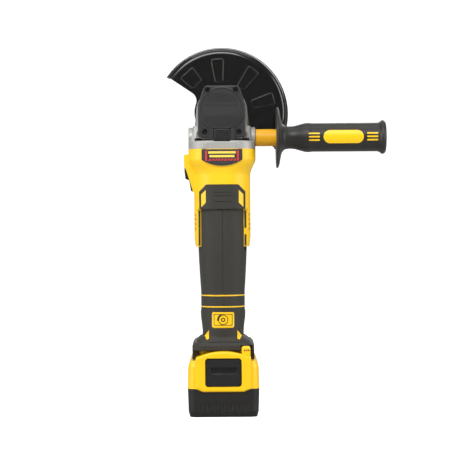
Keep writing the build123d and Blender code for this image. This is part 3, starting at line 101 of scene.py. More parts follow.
# ------------------------------------------------------------------ shared shader effects
class Effects:
    """Node groups that several finishes share. Each is built once, on first use."""

    FLAT = 0.985  # how alike the true and the rounded normal are where no edge mark is laid
    FULL_EDGE_MARK = 0.8  # and where the edge mark, wear and painted highlight together, is full
    EDGE_MARK_SCALE = 260.0
    DUST_SCALE = 140.0

    def __init__(self) -> None:
        """Starts with no group built."""
        self._made: dict[str, bpy.types.ShaderNodeTree] = {}

    def group(self, name: str) -> bpy.types.ShaderNodeTree:
        """Gives a shared group by name.

        Args:
            name: drift, grain, edges, round_edges, dust or strokes.

        Returns:
            The group's node tree.
        """
        if name not in self._made:
            tree = bpy.data.node_groups.new(name, "ShaderNodeTree")
            getattr(self, "_" + name)(tree)
            self._made[name] = tree
        return self._made[name]

    @staticmethod
    def _socket(tree: bpy.types.ShaderNodeTree, name: str, way: str, kind: str, value: object = None) -> None:
        """Adds a socket to a group's interface."""
        made = tree.interface.new_socket(name=name, in_out=way, socket_type="NodeSocket" + kind)
        if value is not None:
            made.default_value = value

    @staticmethod
    def _ends(tree: bpy.types.ShaderNodeTree) -> tuple[bpy.types.Node, bpy.types.Node]:
        """Adds a group's input and output nodes."""
        return tree.nodes.new("NodeGroupInput"), tree.nodes.new("NodeGroupOutput")

    @staticmethod
    def _noise(tree: bpy.types.ShaderNodeTree, detail: float, rough: float = 0.5) -> bpy.types.Node:
        """Adds a noise texture on object coordinates."""
        place = tree.nodes.new("ShaderNodeTexCoord")
        noise = tree.nodes.new("ShaderNodeTexNoise")
        noise.inputs["Detail"].default_value = detail
        noise.inputs["Roughness"].default_value = rough
        tree.links.new(place.outputs["Object"], noise.inputs["Vector"])
        return noise

    def _drift(self, tree: bpy.types.ShaderNodeTree) -> None:
        """Slow change between two colours, as in moulded and painted surfaces."""
        self._socket(tree, "Colour", "INPUT", "Color")
        self._socket(tree, "Drifted", "INPUT", "Color")
        self._socket(tree, "Scale", "INPUT", "Float", 20.0)
        self._socket(tree, "Result", "OUTPUT", "Color")
        start, end = self._ends(tree)
        noise = self._noise(tree, 3.0)
        mix = tree.nodes.new("ShaderNodeMix")
        mix.data_type = "RGBA"
        tree.links.new(start.outputs["Scale"], noise.inputs["Scale"])
        tree.links.new(noise.outputs["Fac"], mix.inputs["Factor"])
        tree.links.new(start.outputs["Colour"], mix.inputs["A"])
        tree.links.new(start.outputs["Drifted"], mix.inputs["B"])
        tree.links.new(mix.outputs["Result"], end.inputs["Result"])

    def _grain(self, tree: bpy.types.ShaderNodeTree) -> None:
        """A pebbled skin: noise over small cells, as a height from 0 to 1."""
        self._socket(tree, "Scale", "INPUT", "Float", 1500.0)
        self._socket(tree, "Cells", "INPUT", "Float", 0.5)
        self._socket(tree, "Height", "OUTPUT", "Float")
        start, end = self._ends(tree)
        noise = self._noise(tree, 4.0, 0.6)
        place = tree.nodes.new("ShaderNodeTexCoord")
        cells = tree.nodes.new("ShaderNodeTexVoronoi")
        cells.feature = "SMOOTH_F1"
        mix = tree.nodes.new("ShaderNodeMix")
        tree.links.new(place.outputs["Object"], cells.inputs["Vector"])
        for texture in (noise, cells):
            tree.links.new(start.outputs["Scale"], texture.inputs["Scale"])
        tree.links.new(start.outputs["Cells"], mix.inputs["Factor"])
        tree.links.new(noise.outputs["Fac"], mix.inputs["A"])
        tree.links.new(cells.outputs["Distance"], mix.inputs["B"])
        tree.links.new(mix.outputs["Result"], end.inputs["Height"])

    def _edges(self, tree: bpy.types.ShaderNodeTree) -> None:
        """A mask along edges, broken up by noise: partly wear, partly a painted highlight along the rounded
        edges.
        """
        self._socket(tree, "Width", "INPUT", "Float", 0.0006)
        self._socket(tree, "Amount", "INPUT", "Float", 1.0)
        self._socket(tree, "Mask", "OUTPUT", "Float")
        start, end = self._ends(tree)
        bevel = tree.nodes.new("ShaderNodeBevel")
        bevel.samples = 4
        shape = tree.nodes.new("ShaderNodeNewGeometry")
        dot = tree.nodes.new("ShaderNodeVectorMath")
        dot.operation = "DOT_PRODUCT"
        spread = tree.nodes.new("ShaderNodeMapRange")
        spread.inputs["From Min"].default_value = self.FLAT
        spread.inputs["From Max"].default_value = self.FULL_EDGE_MARK
        noise = self._noise(tree, 5.0, 0.65)
        noise.inputs["Scale"].default_value = self.EDGE_MARK_SCALE
        times = tree.nodes.new("ShaderNodeMath")
        times.operation = "MULTIPLY"
        gain = tree.nodes.new("ShaderNodeMath")
        gain.operation = "MULTIPLY"
        gain.use_clamp = True
        tree.links.new(start.outputs["Width"], bevel.inputs["Radius"])
        tree.links.new(bevel.outputs["Normal"], dot.inputs[0])
        tree.links.new(shape.outputs["Normal"], dot.inputs[1])
        tree.links.new(dot.outputs["Value"], spread.inputs["Value"])
        tree.links.new(spread.outputs["Result"], times.inputs[0])
        tree.links.new(noise.outputs["Fac"], times.inputs[1])
        tree.links.new(times.outputs["Value"], gain.inputs[0])
        tree.links.new(start.outputs["Amount"], gain.inputs[1])
        tree.links.new(gain.outputs["Value"], end.inputs["Mask"])

    def _round_edges(self, tree: bpy.types.ShaderNodeTree) -> None:
        """The surface's normal, rounded over its edges."""
        self._socket(tree, "Radius", "INPUT", "Float", 0.0004)
        self._socket(tree, "Normal", "OUTPUT", "Vector")
        start, end = self._ends(tree)
        bevel = tree.nodes.new("ShaderNodeBevel")
        bevel.samples = 6
        tree.links.new(start.outputs["Radius"], bevel.inputs["Radius"])
        tree.links.new(bevel.outputs["Normal"], end.inputs["Normal"])

    def _dust(self, tree: bpy.types.ShaderNodeTree) -> None:
        """A mask of fine dust that settles on faces that look up."""
        self._socket(tree, "Amount", "INPUT", "Float", 0.1)
        self._socket(tree, "Mask", "OUTPUT", "Float")
        start, end = self._ends(tree)
        noise = self._noise(tree, 6.0, 0.7)
        noise.inputs["Scale"].default_value = self.DUST_SCALE
        shape = tree.nodes.new("ShaderNodeNewGeometry")
        split = tree.nodes.new("ShaderNodeSeparateXYZ")
        up = tree.nodes.new("ShaderNodeMapRange")
        up.inputs["From Min"].default_value = -0.3
        up.inputs["From Max"].default_value = 1.0
        times = tree.nodes.new("ShaderNodeMath")
        times.operation = "MULTIPLY"
        gain = tree.nodes.new("ShaderNodeMath")
        gain.operation = "MULTIPLY"
        gain.use_clamp = True
        tree.links.new(shape.outputs["Normal"], split.inputs["Vector"])
        tree.links.new(split.outputs["Z"], up.inputs["Value"])
        tree.links.new(up.outputs["Result"], times.inputs[0])
        tree.links.new(noise.outputs["Fac"], times.inputs[1])
        tree.links.new(times.outputs["Value"], gain.inputs[0])
        tree.links.new(start.outputs["Amount"], gain.inputs[1])
        tree.links.new(gain.outputs["Value"], end.inputs["Mask"])

    def _strokes(self, tree: bpy.types.ShaderNodeTree) -> None:
        """Fine lines left by turning, grinding or rolling, stretched by Stretch."""
        self._socket(tree, "Stretch", "INPUT", "Vector", (60.0, 2500.0, 60.0))
        self._socket(tree, "Height", "OUTPUT", "Float")
        start, end = self._ends(tree)
        place = tree.nodes.new("ShaderNodeTexCoord")
        pull = tree.nodes.new("ShaderNodeVectorMath")
        pull.operation = "MULTIPLY"
        noise = tree.nodes.new("ShaderNodeTexNoise")
        noise.inputs["Scale"].default_value = 1.0
        noise.inputs["Detail"].default_value = 4.0
        tree.links.new(place.outputs["Object"], pull.inputs[0])
        tree.links.new(start.outputs["Stretch"], pull.inputs[1])
        tree.links.new(pull.outputs["Vector"], noise.inputs["Vector"])
        tree.links.new(noise.outputs["Fac"], end.inputs["Height"])


EFFECTS = Effects()


# ------------------------------------------------------------------ finishes
class Skin(Enum):
    """The small relief that a finish has."""

    PEBBLED = "grain"
    TURNED = "strokes"
    PLAIN = "plain"


@dataclass(frozen=True)
class Finish:
    """One surface finish and the numbers that make it.

    Colours are six hexadecimal digits. Lengths are in metres.
    """

    name: str
    colour: str
    drifted: str
    roughness: float
    metallic: float = 0.0
    specular: float = 0.5
    coat: float = 0.0
    coat_roughness: float = 0.1
    sheen: float = 0.0
    skin: Skin = Skin.PEBBLED
    grain_scale: float = 1600.0
    cells: float = 0.5
    relief: float = 0.00003
    strokes: tuple[float, float, float] = (60.0, 2500.0, 60.0)
    drift_scale: float = 18.0
    uneven: float = 0.08
    # The edge colour and its amount lay a painted highlight along the edges, together with wear.
    edge_wear_highlight_colour: str = "c8c8c8"
    edge_wear_highlight_amount: float = 0.25
    edge_round: float = 0.0004
    dust: float = 0.06

    def material(self) -> bpy.types.Material:
        """Builds the finish's material, or gives it again where it was built before.

        Returns:
            The Blender material.
        """
        known = bpy.data.materials.get(self.name)
        if known is not None:
            return known
        made = bpy.data.materials.new(self.name)
        made.use_nodes = True
        tree = made.node_tree
        shader = tree.nodes["Principled BSDF"]
        shader.inputs["Metallic"].default_value = self.metallic
        shader.inputs["Specular IOR Level"].default_value = self.specular
        shader.inputs["Coat Weight"].default_value = self.coat
        shader.inputs["Coat Roughness"].default_value = self.coat_roughness
        shader.inputs["Sheen Weight"].default_value = self.sheen
        tree.links.new(self._colour(tree), shader.inputs["Base Color"])
        tree.links.new(self._roughness(tree), shader.inputs["Roughness"])
        tree.links.new(self._normal(tree), shader.inputs["Normal"])
        return made

    @staticmethod
    def _use(tree: bpy.types.ShaderNodeTree, name: str, **values: object) -> bpy.types.Node:
        """Places a shared group with its own values."""
        node = tree.nodes.new("ShaderNodeGroup")
        node.node_tree = EFFECTS.group(name)
        for key, value in values.items():
            node.inputs[key].default_value = value
        return node

    @staticmethod
    def _blend(
        tree: bpy.types.ShaderNodeTree,
        mask: bpy.types.NodeSocket,
        below: bpy.types.NodeSocket,
        above: str,
    ) -> bpy.types.NodeSocket:
        """Lays a plain colour over another where a mask says."""
        mix = tree.nodes.new("ShaderNodeMix")
        mix.data_type = "RGBA"
        mix.inputs["B"].default_value = linear(above)
        tree.links.new(mask, mix.inputs["Factor"])
        tree.links.new(below, mix.inputs["A"])
        return mix.outputs["Result"]

    def _colour(self, tree: bpy.types.ShaderNodeTree) -> bpy.types.NodeSocket:
        """The base colour: two close tones, edges lightened as wear and as a painted highlight, and a little
        dust.
        """
        drift = self._use(
            tree, "drift", Colour=linear(self.colour), Drifted=linear(self.drifted), Scale=self.drift_scale
        )
        result = drift.outputs["Result"]
        # The edge colour laid here is partly wear and partly a painted highlight along the edges.
        if self.edge_wear_highlight_amount > 0:
            edges = self._use(tree, "edges", Width=self.edge_round * 1.4, Amount=self.edge_wear_highlight_amount)
            result = self._blend(tree, edges.outputs["Mask"], result, self.edge_wear_highlight_colour)
        if self.dust > 0:
            dust = self._use(tree, "dust", Amount=self.dust)
            result = self._blend(tree, dust.outputs["Mask"], result, DUST_COLOUR)
        return result

    def _roughness(self, tree: bpy.types.ShaderNodeTree) -> bpy.types.NodeSocket:
        """Roughness that wanders a little over the surface."""
        grain = self._use(tree, "grain", Scale=90.0, Cells=0.2)
        spread = tree.nodes.new("ShaderNodeMapRange")
        spread.inputs["From Min"].default_value = 0.25
        spread.inputs["From Max"].default_value = 0.75
        spread.inputs["To Min"].default_value = max(0.03, self.roughness - self.uneven)
        spread.inputs["To Max"].default_value = min(1.0, self.roughness + self.uneven)
        tree.links.new(grain.outputs["Height"], spread.inputs["Value"])
        return spread.outputs["Result"]

    def _normal(self, tree: bpy.types.ShaderNodeTree) -> bpy.types.NodeSocket:
        """Rounded edges with the finish's relief on top."""
        rounded = self._use(tree, "round_edges", Radius=self.edge_round)
        if self.skin is Skin.PLAIN:
            return rounded.outputs["Normal"]
        if self.skin is Skin.TURNED:
            height = self._use(tree, "strokes", Stretch=self.strokes)
        else:
            height = self._use(tree, "grain", Scale=self.grain_scale, Cells=self.cells)
        bump = tree.nodes.new("ShaderNodeBump")
        bump.inputs["Strength"].default_value = 0.6
        bump.inputs["Distance"].default_value = self.relief
        tree.links.new(height.outputs["Height"], bump.inputs["Height"])
        tree.links.new(rounded.outputs["Normal"], bump.inputs["Normal"])
        return bump.outputs["Normal"]


# Every finish's edge colour is lighter than its body: it is laid along the edges as wear and as a painted
# highlight.
YELLOW = Finish(
    "yellow_moulding", "ffcf1c", "fbc614", 0.42, specular=0.4, edge_wear_highlight_colour="ffe080", edge_wear_highlight_amount=0.3,
    dust=0.01,
)
DEEP_YELLOW = Finish(
    "deep_yellow_moulding", "fdba06", "f7b204", 0.38, specular=0.4, edge_wear_highlight_colour="ffcf60", edge_wear_highlight_amount=0.3,
    dust=0.01,
)
PACK_YELLOW = Finish(
    "pack_yellow_moulding", "ffcd02", "fbc402", 0.34, specular=0.45, edge_wear_highlight_colour="ffe27a",
    edge_wear_highlight_amount=0.3, dust=0.01,
)
SOFT_GRIP = Finish(
    "soft_grip", "37352f", "302e2a", 0.6, specular=0.3, sheen=0.03, grain_scale=1100.0, cells=0.8,
    relief=0.00008, edge_wear_highlight_colour="54524c", edge_wear_highlight_amount=0.3, dust=0.02,
)
HANDLE_GRIP = Finish(
    "handle_grip", "242320", "1e1d1b", 0.44, specular=0.42, sheen=0.03, grain_scale=1000.0, cells=0.7,
    relief=0.00006, edge_wear_highlight_colour="4a4844", edge_wear_highlight_amount=0.3, dust=0.02,
)
PACK_BLACK = Finish(
    "pack_black_moulding", "1b1a19", "161514", 0.44, specular=0.4, edge_wear_highlight_colour="454341", edge_wear_highlight_amount=0.3,
    grain_scale=1500.0, dust=0.015,
)
BUTTON_BLACK = Finish(
    "button_black", "191919", "141414", 0.36, specular=0.4, edge_wear_highlight_colour="505050", edge_wear_highlight_amount=0.3,
    dust=0.015,
)
# The lid's grey edge colour is a painted highlight along its edges and ribs.
LID_BLACK = Finish(
    "lid_black", "0b0b0b", "080808", 0.27, specular=0.22, grain_scale=1300.0, relief=0.00002,
    edge_wear_highlight_colour="6a6a6a", edge_wear_highlight_amount=0.6, dust=0.002,
)
# The guard's light grey edge colour is a painted highlight: bright lines along the edges of the raised pads.
GUARD_BLACK = Finish(
    "guard_enamel", "080807", "050505", 0.22, specular=0.3, coat=0.5, coat_roughness=0.08,
    grain_scale=220.0, cells=0.1, relief=0.00003, uneven=0.05, edge_wear_highlight_colour="8c8c8a", edge_wear_highlight_amount=0.7,
    edge_round=0.0008, dust=0.005,
)
CAST = Finish(
    "cast_alloy", "b2b1ad", "a3a29e", 0.5, metallic=0.35, grain_scale=700.0, cells=0.35, relief=0.00007,
    drift_scale=40.0, edge_wear_highlight_colour="efeeea", edge_wear_highlight_amount=0.5, edge_round=0.0007, dust=0.02,
)
ZINC = Finish(
    "zinc_plate", "a9a9a6", "9a9a97", 0.32, metallic=1.0, skin=Skin.TURNED, strokes=(90.0, 2600.0, 90.0),
    relief=0.00001, edge_wear_highlight_colour="dededc", dust=0.02,
)
BRIGHT = Finish(
    "bright_steel", "c9c9c8", "bdbdbb", 0.2, metallic=1.0, skin=Skin.TURNED,
    strokes=(120.0, 3200.0, 120.0), relief=0.000008, edge_wear_highlight_colour="f0f0f0", dust=0.0,
)
GEAR_STEEL = Finish(
    "gear_steel", "8d8c88", "7b7a76", 0.34, metallic=1.0, grain_scale=500.0, relief=0.00002,
    edge_wear_highlight_colour="c8c6c0", dust=0.0,
)
BLACKENED = Finish(
    "blackened_steel", "18181a", "202022", 0.34, metallic=0.9, edge_wear_highlight_colour="8a8a8a", edge_wear_highlight_amount=0.5,
    dust=0.01,
)
LAMINATION = Finish(
    "lamination_steel", "5c5b59", "4c4b49", 0.5, metallic=0.9, skin=Skin.TURNED,
    strokes=(40.0, 40.0, 4200.0), relief=0.00004,
)
MAGNET = Finish("magnet_nickel", "8b8a88", "807f7d", 0.3, metallic=1.0, dust=0.0)
COPPER = Finish(
    "enamelled_copper", "b4602c", "9c4d20", 0.3, metallic=0.9, coat=0.4, skin=Skin.TURNED,
    strokes=(900.0, 900.0, 60.0), relief=0.0001, edge_wear_highlight_amount=0.0, dust=0.0,
)
SEAL = Finish("seal_rubber", "151514", "1b1b1a", 0.6, specular=0.3, dust=0.02)
CELL_SLEEVE = Finish("cell_sleeve", "2c5f9c", "27558c", 0.35, skin=Skin.PLAIN, edge_wear_highlight_amount=0.0, dust=0.0)
NICKEL = Finish("nickel_strap", "bdb9ae", "aeaaa0", 0.28, metallic=1.0, dust=0.0)
BOARD = Finish("circuit_board", "12502c", "0f4526", 0.4, grain_scale=900.0, dust=0.0)
POTTING = Finish("potting", "2b2c2e", "232426", 0.35, dust=0.0)
LEAD_RED = Finish("lead_sleeve", "a51b16", "931511", 0.42, skin=Skin.PLAIN, edge_wear_highlight_amount=0.0, dust=0.0)
BADGE = Finish(
    "badge_film", "3a393c", "353436", 0.35, grain_scale=900.0, relief=0.00001, dust=0.01, edge_wear_highlight_amount=0.1,
)
PRINT_RED = Finish("print_red", "dc3a34", "d2302b", 0.38, skin=Skin.PLAIN, edge_wear_highlight_amount=0.0, dust=0.01)
PRINT_CREAM = Finish("print_cream", "ffdc5e", "fad24e", 0.38, skin=Skin.PLAIN, edge_wear_highlight_amount=0.0, dust=0.01)
PRINT_BROWN = Finish("print_brown", "2c1f0a", "261a08", 0.42, skin=Skin.PLAIN, edge_wear_highlight_amount=0.0, dust=0.01)
LAMP = Finish(
    "gauge_lamp", "7c4a12", "6e400e", 0.25, skin=Skin.PLAIN, coat=0.5, edge_wear_highlight_amount=0.0, dust=0.0,
)

NODE_FINISH: dict[str, Finish] = {
    "gear_case": CAST,
    "gear_cover": LID_BLACK,
    "bearing_box": CAST,
    "case_screws": BLACKENED,
    "bearing_retainers": ZINC,
    "spindle_seal": SEAL,
    "spindle_bearings": BRIGHT,
    "motor_bearings": BRIGHT,
    "motor_housing": YELLOW,
    "fan_baffle": PACK_BLACK,
    "stator_core": LAMINATION,
    "stator_coils": COPPER,
    "rear_bearing_mount": PACK_BLACK,
    "grip_panels": SOFT_GRIP,
    "badge": BADGE,
    "handle_left": SOFT_GRIP,
    "handle_right": SOFT_GRIP,
    "handle_screws": BLACKENED,
    "accent_bands": YELLOW,
    "icon_plate": YELLOW,
    "micro_switch": BUTTON_BLACK,
    "control_module": POTTING,
    "tool_terminals": PACK_BLACK,
    "leads": LEAD_RED,
    "lever_pin": BRIGHT,
    "spindle": BRIGHT,
    "crown_gear": GEAR_STEEL,
    "crown_gear_rings": ZINC,
    "backing_flange": ZINC,
    "clamp_nut": ZINC,
    "rotor_shaft": BRIGHT,
    "pinion": GEAR_STEEL,
    "lock_ring": GEAR_STEEL,
    "cooling_fan": PACK_BLACK,
    "rotor_core": LAMINATION,
    "rotor_magnets": MAGNET,
    "spindle_lock_button": BUTTON_BLACK,
    "spindle_lock_pin": BRIGHT,
    "spindle_lock_spring": ZINC,
    "switch_slider": BUTTON_BLACK,
    "switch_rod": PACK_BLACK,
    "guard": GUARD_BLACK,
    "guard_lever": ZINC,
    "side_handle_stud": ZINC,
    "side_handle_grip": HANDLE_GRIP,
    "side_handle_core": PACK_BLACK,
    "side_handle_collar": DEEP_YELLOW,
    "side_handle_inlays": PACK_YELLOW,
    "side_handle_damper": SEAL,
    "battery_base": PACK_BLACK,
    "battery_cover": PACK_YELLOW,
    "cells": CELL_SLEEVE,
    "cell_frames": PACK_BLACK,
    "cell_straps": NICKEL,
    "battery_board": BOARD,
    "battery_screws": BLACKENED,
    "battery_latch": BUTTON_BLACK,
    "latch_spring": ZINC,
    "gauge_button": BUTTON_BLACK,
}


# ------------------------------------------------------------------ mesh helpers
class Surface:
    """The skin of some CAD nodes, which patches and inlays are laid on."""

    def __init__(self, nodes: Iterable[bpy.types.Object]) -> None:
        """Gathers the nodes' triangles.

        Args:
            nodes: the CAD objects whose skin is wanted.
        """
        corners: list[Vector] = []
        faces: list[tuple[int, ...]] = []
        for node in nodes:
            first = len(corners)
            corners.extend(v.co.copy() for v in node.data.vertices)
            faces.extend(tuple(i + first for i in p.vertices) for p in node.data.polygons)
        self._tree = BVHTree.FromPolygons(corners, faces)

    def meet(self, point: Vector, way: Vector) -> tuple[Vector, Vector] | None:
        """Finds where a line through a point first meets the skin from outside.

        Args:
            point: a point on the line.
            way: the way the probe looks.

        Returns:
            The place and the outward normal, or None where nothing is met.
        """
        start = point - way * PROBE_BACK_OFF
        place, normal, _, _ = self._tree.ray_cast(start, way, PROBE_LENGTH)
        if place is None:
            return None
        if normal.dot(way) > 0:
            normal = -normal
        return place, normal


def finished(
    name: str, mesh: bmesh.types.BMesh, finish: Finish, body: Body, smooth: float = 30.0
) -> bpy.types.Object:
    """Turns a bmesh into a piece that rides on a body.

    Args:
        name: the piece's name.
        mesh: the shape, which is freed.
        finish: what it is made of.
        body: what it moves with.
        smooth: edges sharper than this many degrees stay sharp.

    Returns:
        The new object.
    """
    bmesh.ops.remove_doubles(mesh, verts=mesh.verts[:], dist=SAME_POINT)
    bmesh.ops.recalc_face_normals(mesh, faces=mesh.faces[:])
    for face in mesh.faces:
        face.smooth = True
    for edge in mesh.edges:
        edge.smooth = edge.is_manifold and edge.calc_face_angle(0.0) < math.radians(smooth)
    data = bpy.data.meshes.new(name)
    mesh.to_mesh(data)
    mesh.free()
    data.materials.append(finish.material())
    piece = bpy.data.objects.new(name, data)
    bpy.context.scene.collection.objects.link(piece)
    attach(piece, body.value)
    log.info("%s: %d faces on %s", name, len(data.polygons), body.value)
    return piece


def flat_grid(low: tuple[float, float], high: tuple[float, float], step: float) -> bmesh.types.BMesh:
    """A grid in the XZ plane between two corners.

    Args:
        low: the lowest x and z.
        high: the highest x and z.
        step: about how large a cell is.

    Returns:
        The grid as a bmesh, at y = 0.
    """
    mesh = bmesh.new()
    wide, tall = high[0] - low[0], high[1] - low[1]
    across = max(2, math.ceil(wide / step))
    up = max(2, math.ceil(tall / step))
    bmesh.ops.create_grid(mesh, x_segments=across, y_segments=up, size=0.5)
    place = Matrix.Translation(((low[0] + high[0]) / 2, 0.0, (low[1] + high[1]) / 2))
    turn = Matrix.Rotation(math.pi / 2, 4, "X")
    stretch = Matrix.Diagonal((wide, tall, 1.0, 1.0))
    bmesh.ops.transform(mesh, matrix=place @ turn @ stretch, verts=mesh.verts[:])
    return mesh


def rectangle(low: tuple[float, float], high: tuple[float, float]) -> list[tuple[float, float]]:
    """A rectangle's corners in order, from its first corner and the one across from it."""
    return [low, (high[0], low[1]), high, (low[0], high[1])]


def trim_convex(mesh: bmesh.types.BMesh, outline: Sequence[tuple[float, float]]) -> None:
    """Cuts a flat grid down to a convex outline.

    Args:
        mesh: the grid in the XZ plane.
        outline: the corners, in order, as (x, z).
    """
    mean_x = sum(p[0] for p in outline) / len(outline)
    mean_z = sum(p[1] for p in outline) / len(outline)
    centre = Vector((mean_x, 0.0, mean_z))
    for i, corner in enumerate(outline):
        after = outline[(i + 1) % len(outline)]
        start = Vector((corner[0], 0.0, corner[1]))
        along = Vector((after[0] - corner[0], 0.0, after[1] - corner[1]))
        out = along.cross(Vector((0.0, 1.0, 0.0)))
        if out.dot(centre - start) > 0:
            out = -out
        bmesh.ops.bisect_plane(
            mesh,
            geom=mesh.verts[:] + mesh.edges[:] + mesh.faces[:],
            dist=1e-7,
            plane_co=start,
            plane_no=out,
            clear_outer=True,
        )


@dataclass
class Patch:
    """A thin raised inlay that follows a CAD skin.

    A corner that lands deeper than reach behind the nearest one has missed the skin and is dropped.
    """

    surface: Surface
    side: Side
    proud: float = 0.0003
    sunk: float = 0.0006
    reach: float = 0.012

    def lay(self, mesh: bmesh.types.BMesh) -> None:
        """Presses a flat mesh onto the skin and gives it thickness.

        Args:
            mesh: a flat mesh drawn in the XZ plane.
        """
        way = Vector(self.side.value)
        met = {vert: self.surface.meet(vert.co, way) for vert in mesh.verts}
        depths = [found[0].dot(way) for found in met.values() if found]
        deepest = min(depths) + self.reach if depths else 0.0
        lost = []
        for vert, found in met.items():
            if found is None or found[0].dot(way) > deepest:
                lost.append(vert)
                continue
            vert.co = found[0] - way * self.proud
        if lost:
            bmesh.ops.delete(mesh, geom=lost, context="VERTS")
        grown = bmesh.ops.extrude_face_region(mesh, geom=mesh.faces[:])
        moved = [g for g in grown["geom"] if isinstance(g, bmesh.types.BMVert)]
        bmesh.ops.translate(mesh, vec=way * (self.proud + self.sunk), verts=moved)


def polygon_patch(
    patch: Patch, outline: Sequence[tuple[float, float]], step: float = 0.0012
) -> bmesh.types.BMesh:
    """A convex polygon laid on a skin.

    Args:
        patch: how it is laid.
        outline: its corners as (x, z), in metres.
        step: how fine its grid is.

    Returns:
        The laid mesh.
    """
    low = (min(p[0] for p in outline), min(p[1] for p in outline))
    high = (max(p[0] for p in outline), max(p[1] for p in outline))
    mesh = flat_grid(low, high, step)
    trim_convex(mesh, outline)
    patch.lay(mesh)
    return mesh


def ring_patch(
    patch: Patch,
    centre: tuple[float, float],
    radii: tuple[float, float],
    start: float = 0.0,
    sweep: float = 360.0,
) -> bmesh.types.BMesh:
    """A flat ring, or a part of one, laid on a skin.

    Args:
        patch: how it is laid.
        centre: its centre as (x, z).
        radii: its inner and outer radius.
        start: where a part ring starts, in degrees from +X.
        sweep: how far it runs, in degrees.

    Returns:
        The laid mesh.
    """
    mesh = bmesh.new()
    inner = mesh.verts.new((radii[0], 0.0, 0.0))
    middle = mesh.verts.new(((radii[0] + radii[1]) / 2, 0.0, 0.0))
    outer = mesh.verts.new((radii[1], 0.0, 0.0))
    line = [mesh.edges.new((inner, middle)), mesh.edges.new((middle, outer))]
    turn = Matrix.Rotation(-math.radians(start), 3, "Y")
    bmesh.ops.rotate(mesh, matrix=turn, verts=mesh.verts[:])
    bmesh.ops.spin(
        mesh,
        geom=mesh.verts[:] + line,
        cent=(0.0, 0.0, 0.0),
        axis=(0.0, -1.0, 0.0),
        angle=math.radians(sweep),
        steps=max(8, round(sweep / 9)),
        use_merge=sweep >= 360.0,
    )
    bmesh.ops.translate(mesh, vec=(centre[0], 0.0, centre[1]), verts=mesh.verts[:])
    patch.lay(mesh)
    return mesh


def merged(parts: Sequence[bmesh.types.BMesh]) -> bmesh.types.BMesh:
    """Puts several meshes into one.

    Args:
        parts: the meshes, which are freed.

    Returns:
        One mesh with all of them.
    """
    whole = bmesh.new()
    for part in parts:
        data = bpy.data.meshes.new("part")
        part.to_mesh(data)
        part.free()
        whole.from_mesh(data)
        bpy.data.meshes.remove(data)
    return whole


# ------------------------------------------------------------------ sub-assemblies
@dataclass
class CadDress:
    """The finishes of the CAD nodes that stay."""

    nodes: dict[str, bpy.types.Object]
    finishes: dict[str, Finish] = field(default_factory=lambda: dict(NODE_FINISH))

    def dress(self) -> None:
        """Gives every CAD node its finish."""
        for name, node in self.nodes.items():
            material = self.finishes[name].material()
            if not node.material_slots:
                node.data.materials.append(material)
            for slot in node.material_slots:
                slot.material = material
        log.info("dressed %d CAD nodes", len(self.nodes))


@dataclass
class HeadBadge:
    """The plain graphics on the badge below the gear case."""

    surface: Surface
    top: float = -0.0444
    low: float = -0.0552
    half: float = 0.0168
    rule: float = 0.0020
    strokes: int = 9
    stroke_inset: float = 0.0002
    stroke_rise: float = 0.0023
    stroke_share: float = 0.6
    stroke_lean: float = 0.55
    bars: tuple[tuple[float, float], ...] = ((-0.0463, 0.0146), (-0.0503, 0.0132))
    bar_half: float = 0.0012

    def build(self) -> list[bpy.types.Object]:
        """Lays the red rules, the hatching and the cream bars.

        Returns:
            The new pieces.
        """
        patch = Patch(self.surface, Side.FRONT, proud=0.00012, sunk=0.0002)
        red = [polygon_patch(patch, self._rule(side * self.half)) for side in (-1, 1)]
        red.extend(polygon_patch(patch, self._stroke(i)) for i in range(self.strokes))
        cream = [
            polygon_patch(patch, rectangle((-half, z - self.bar_half), (half, z + self.bar_half)))
            for z, half in self.bars
        ]
        return [
            finished("badge_red_rules", merged(red), PRINT_RED, Body.HOUSING),
            finished("badge_cream_bars", merged(cream), PRINT_CREAM, Body.HOUSING),
        ]

    def _rule(self, x: float) -> list[tuple[float, float]]:
        """An upright rule's outline."""
        half = self.rule / 2
        return rectangle((x - half, self.low), (x + half, self.top))

    def _stroke(self, i: int) -> list[tuple[float, float]]:
        """The outline of one leaning stroke of the hatching."""
        pitch = (2 * self.half - 2 * self.rule) / self.strokes
        x = -self.half + self.rule + i * pitch
        lean = pitch * self.stroke_lean
        near, far = x + self.stroke_inset, x + pitch * self.stroke_share
        top = self.low + self.stroke_rise
        return [(near, self.low), (far, self.low), (far + lean, top), (near + lean, top)]


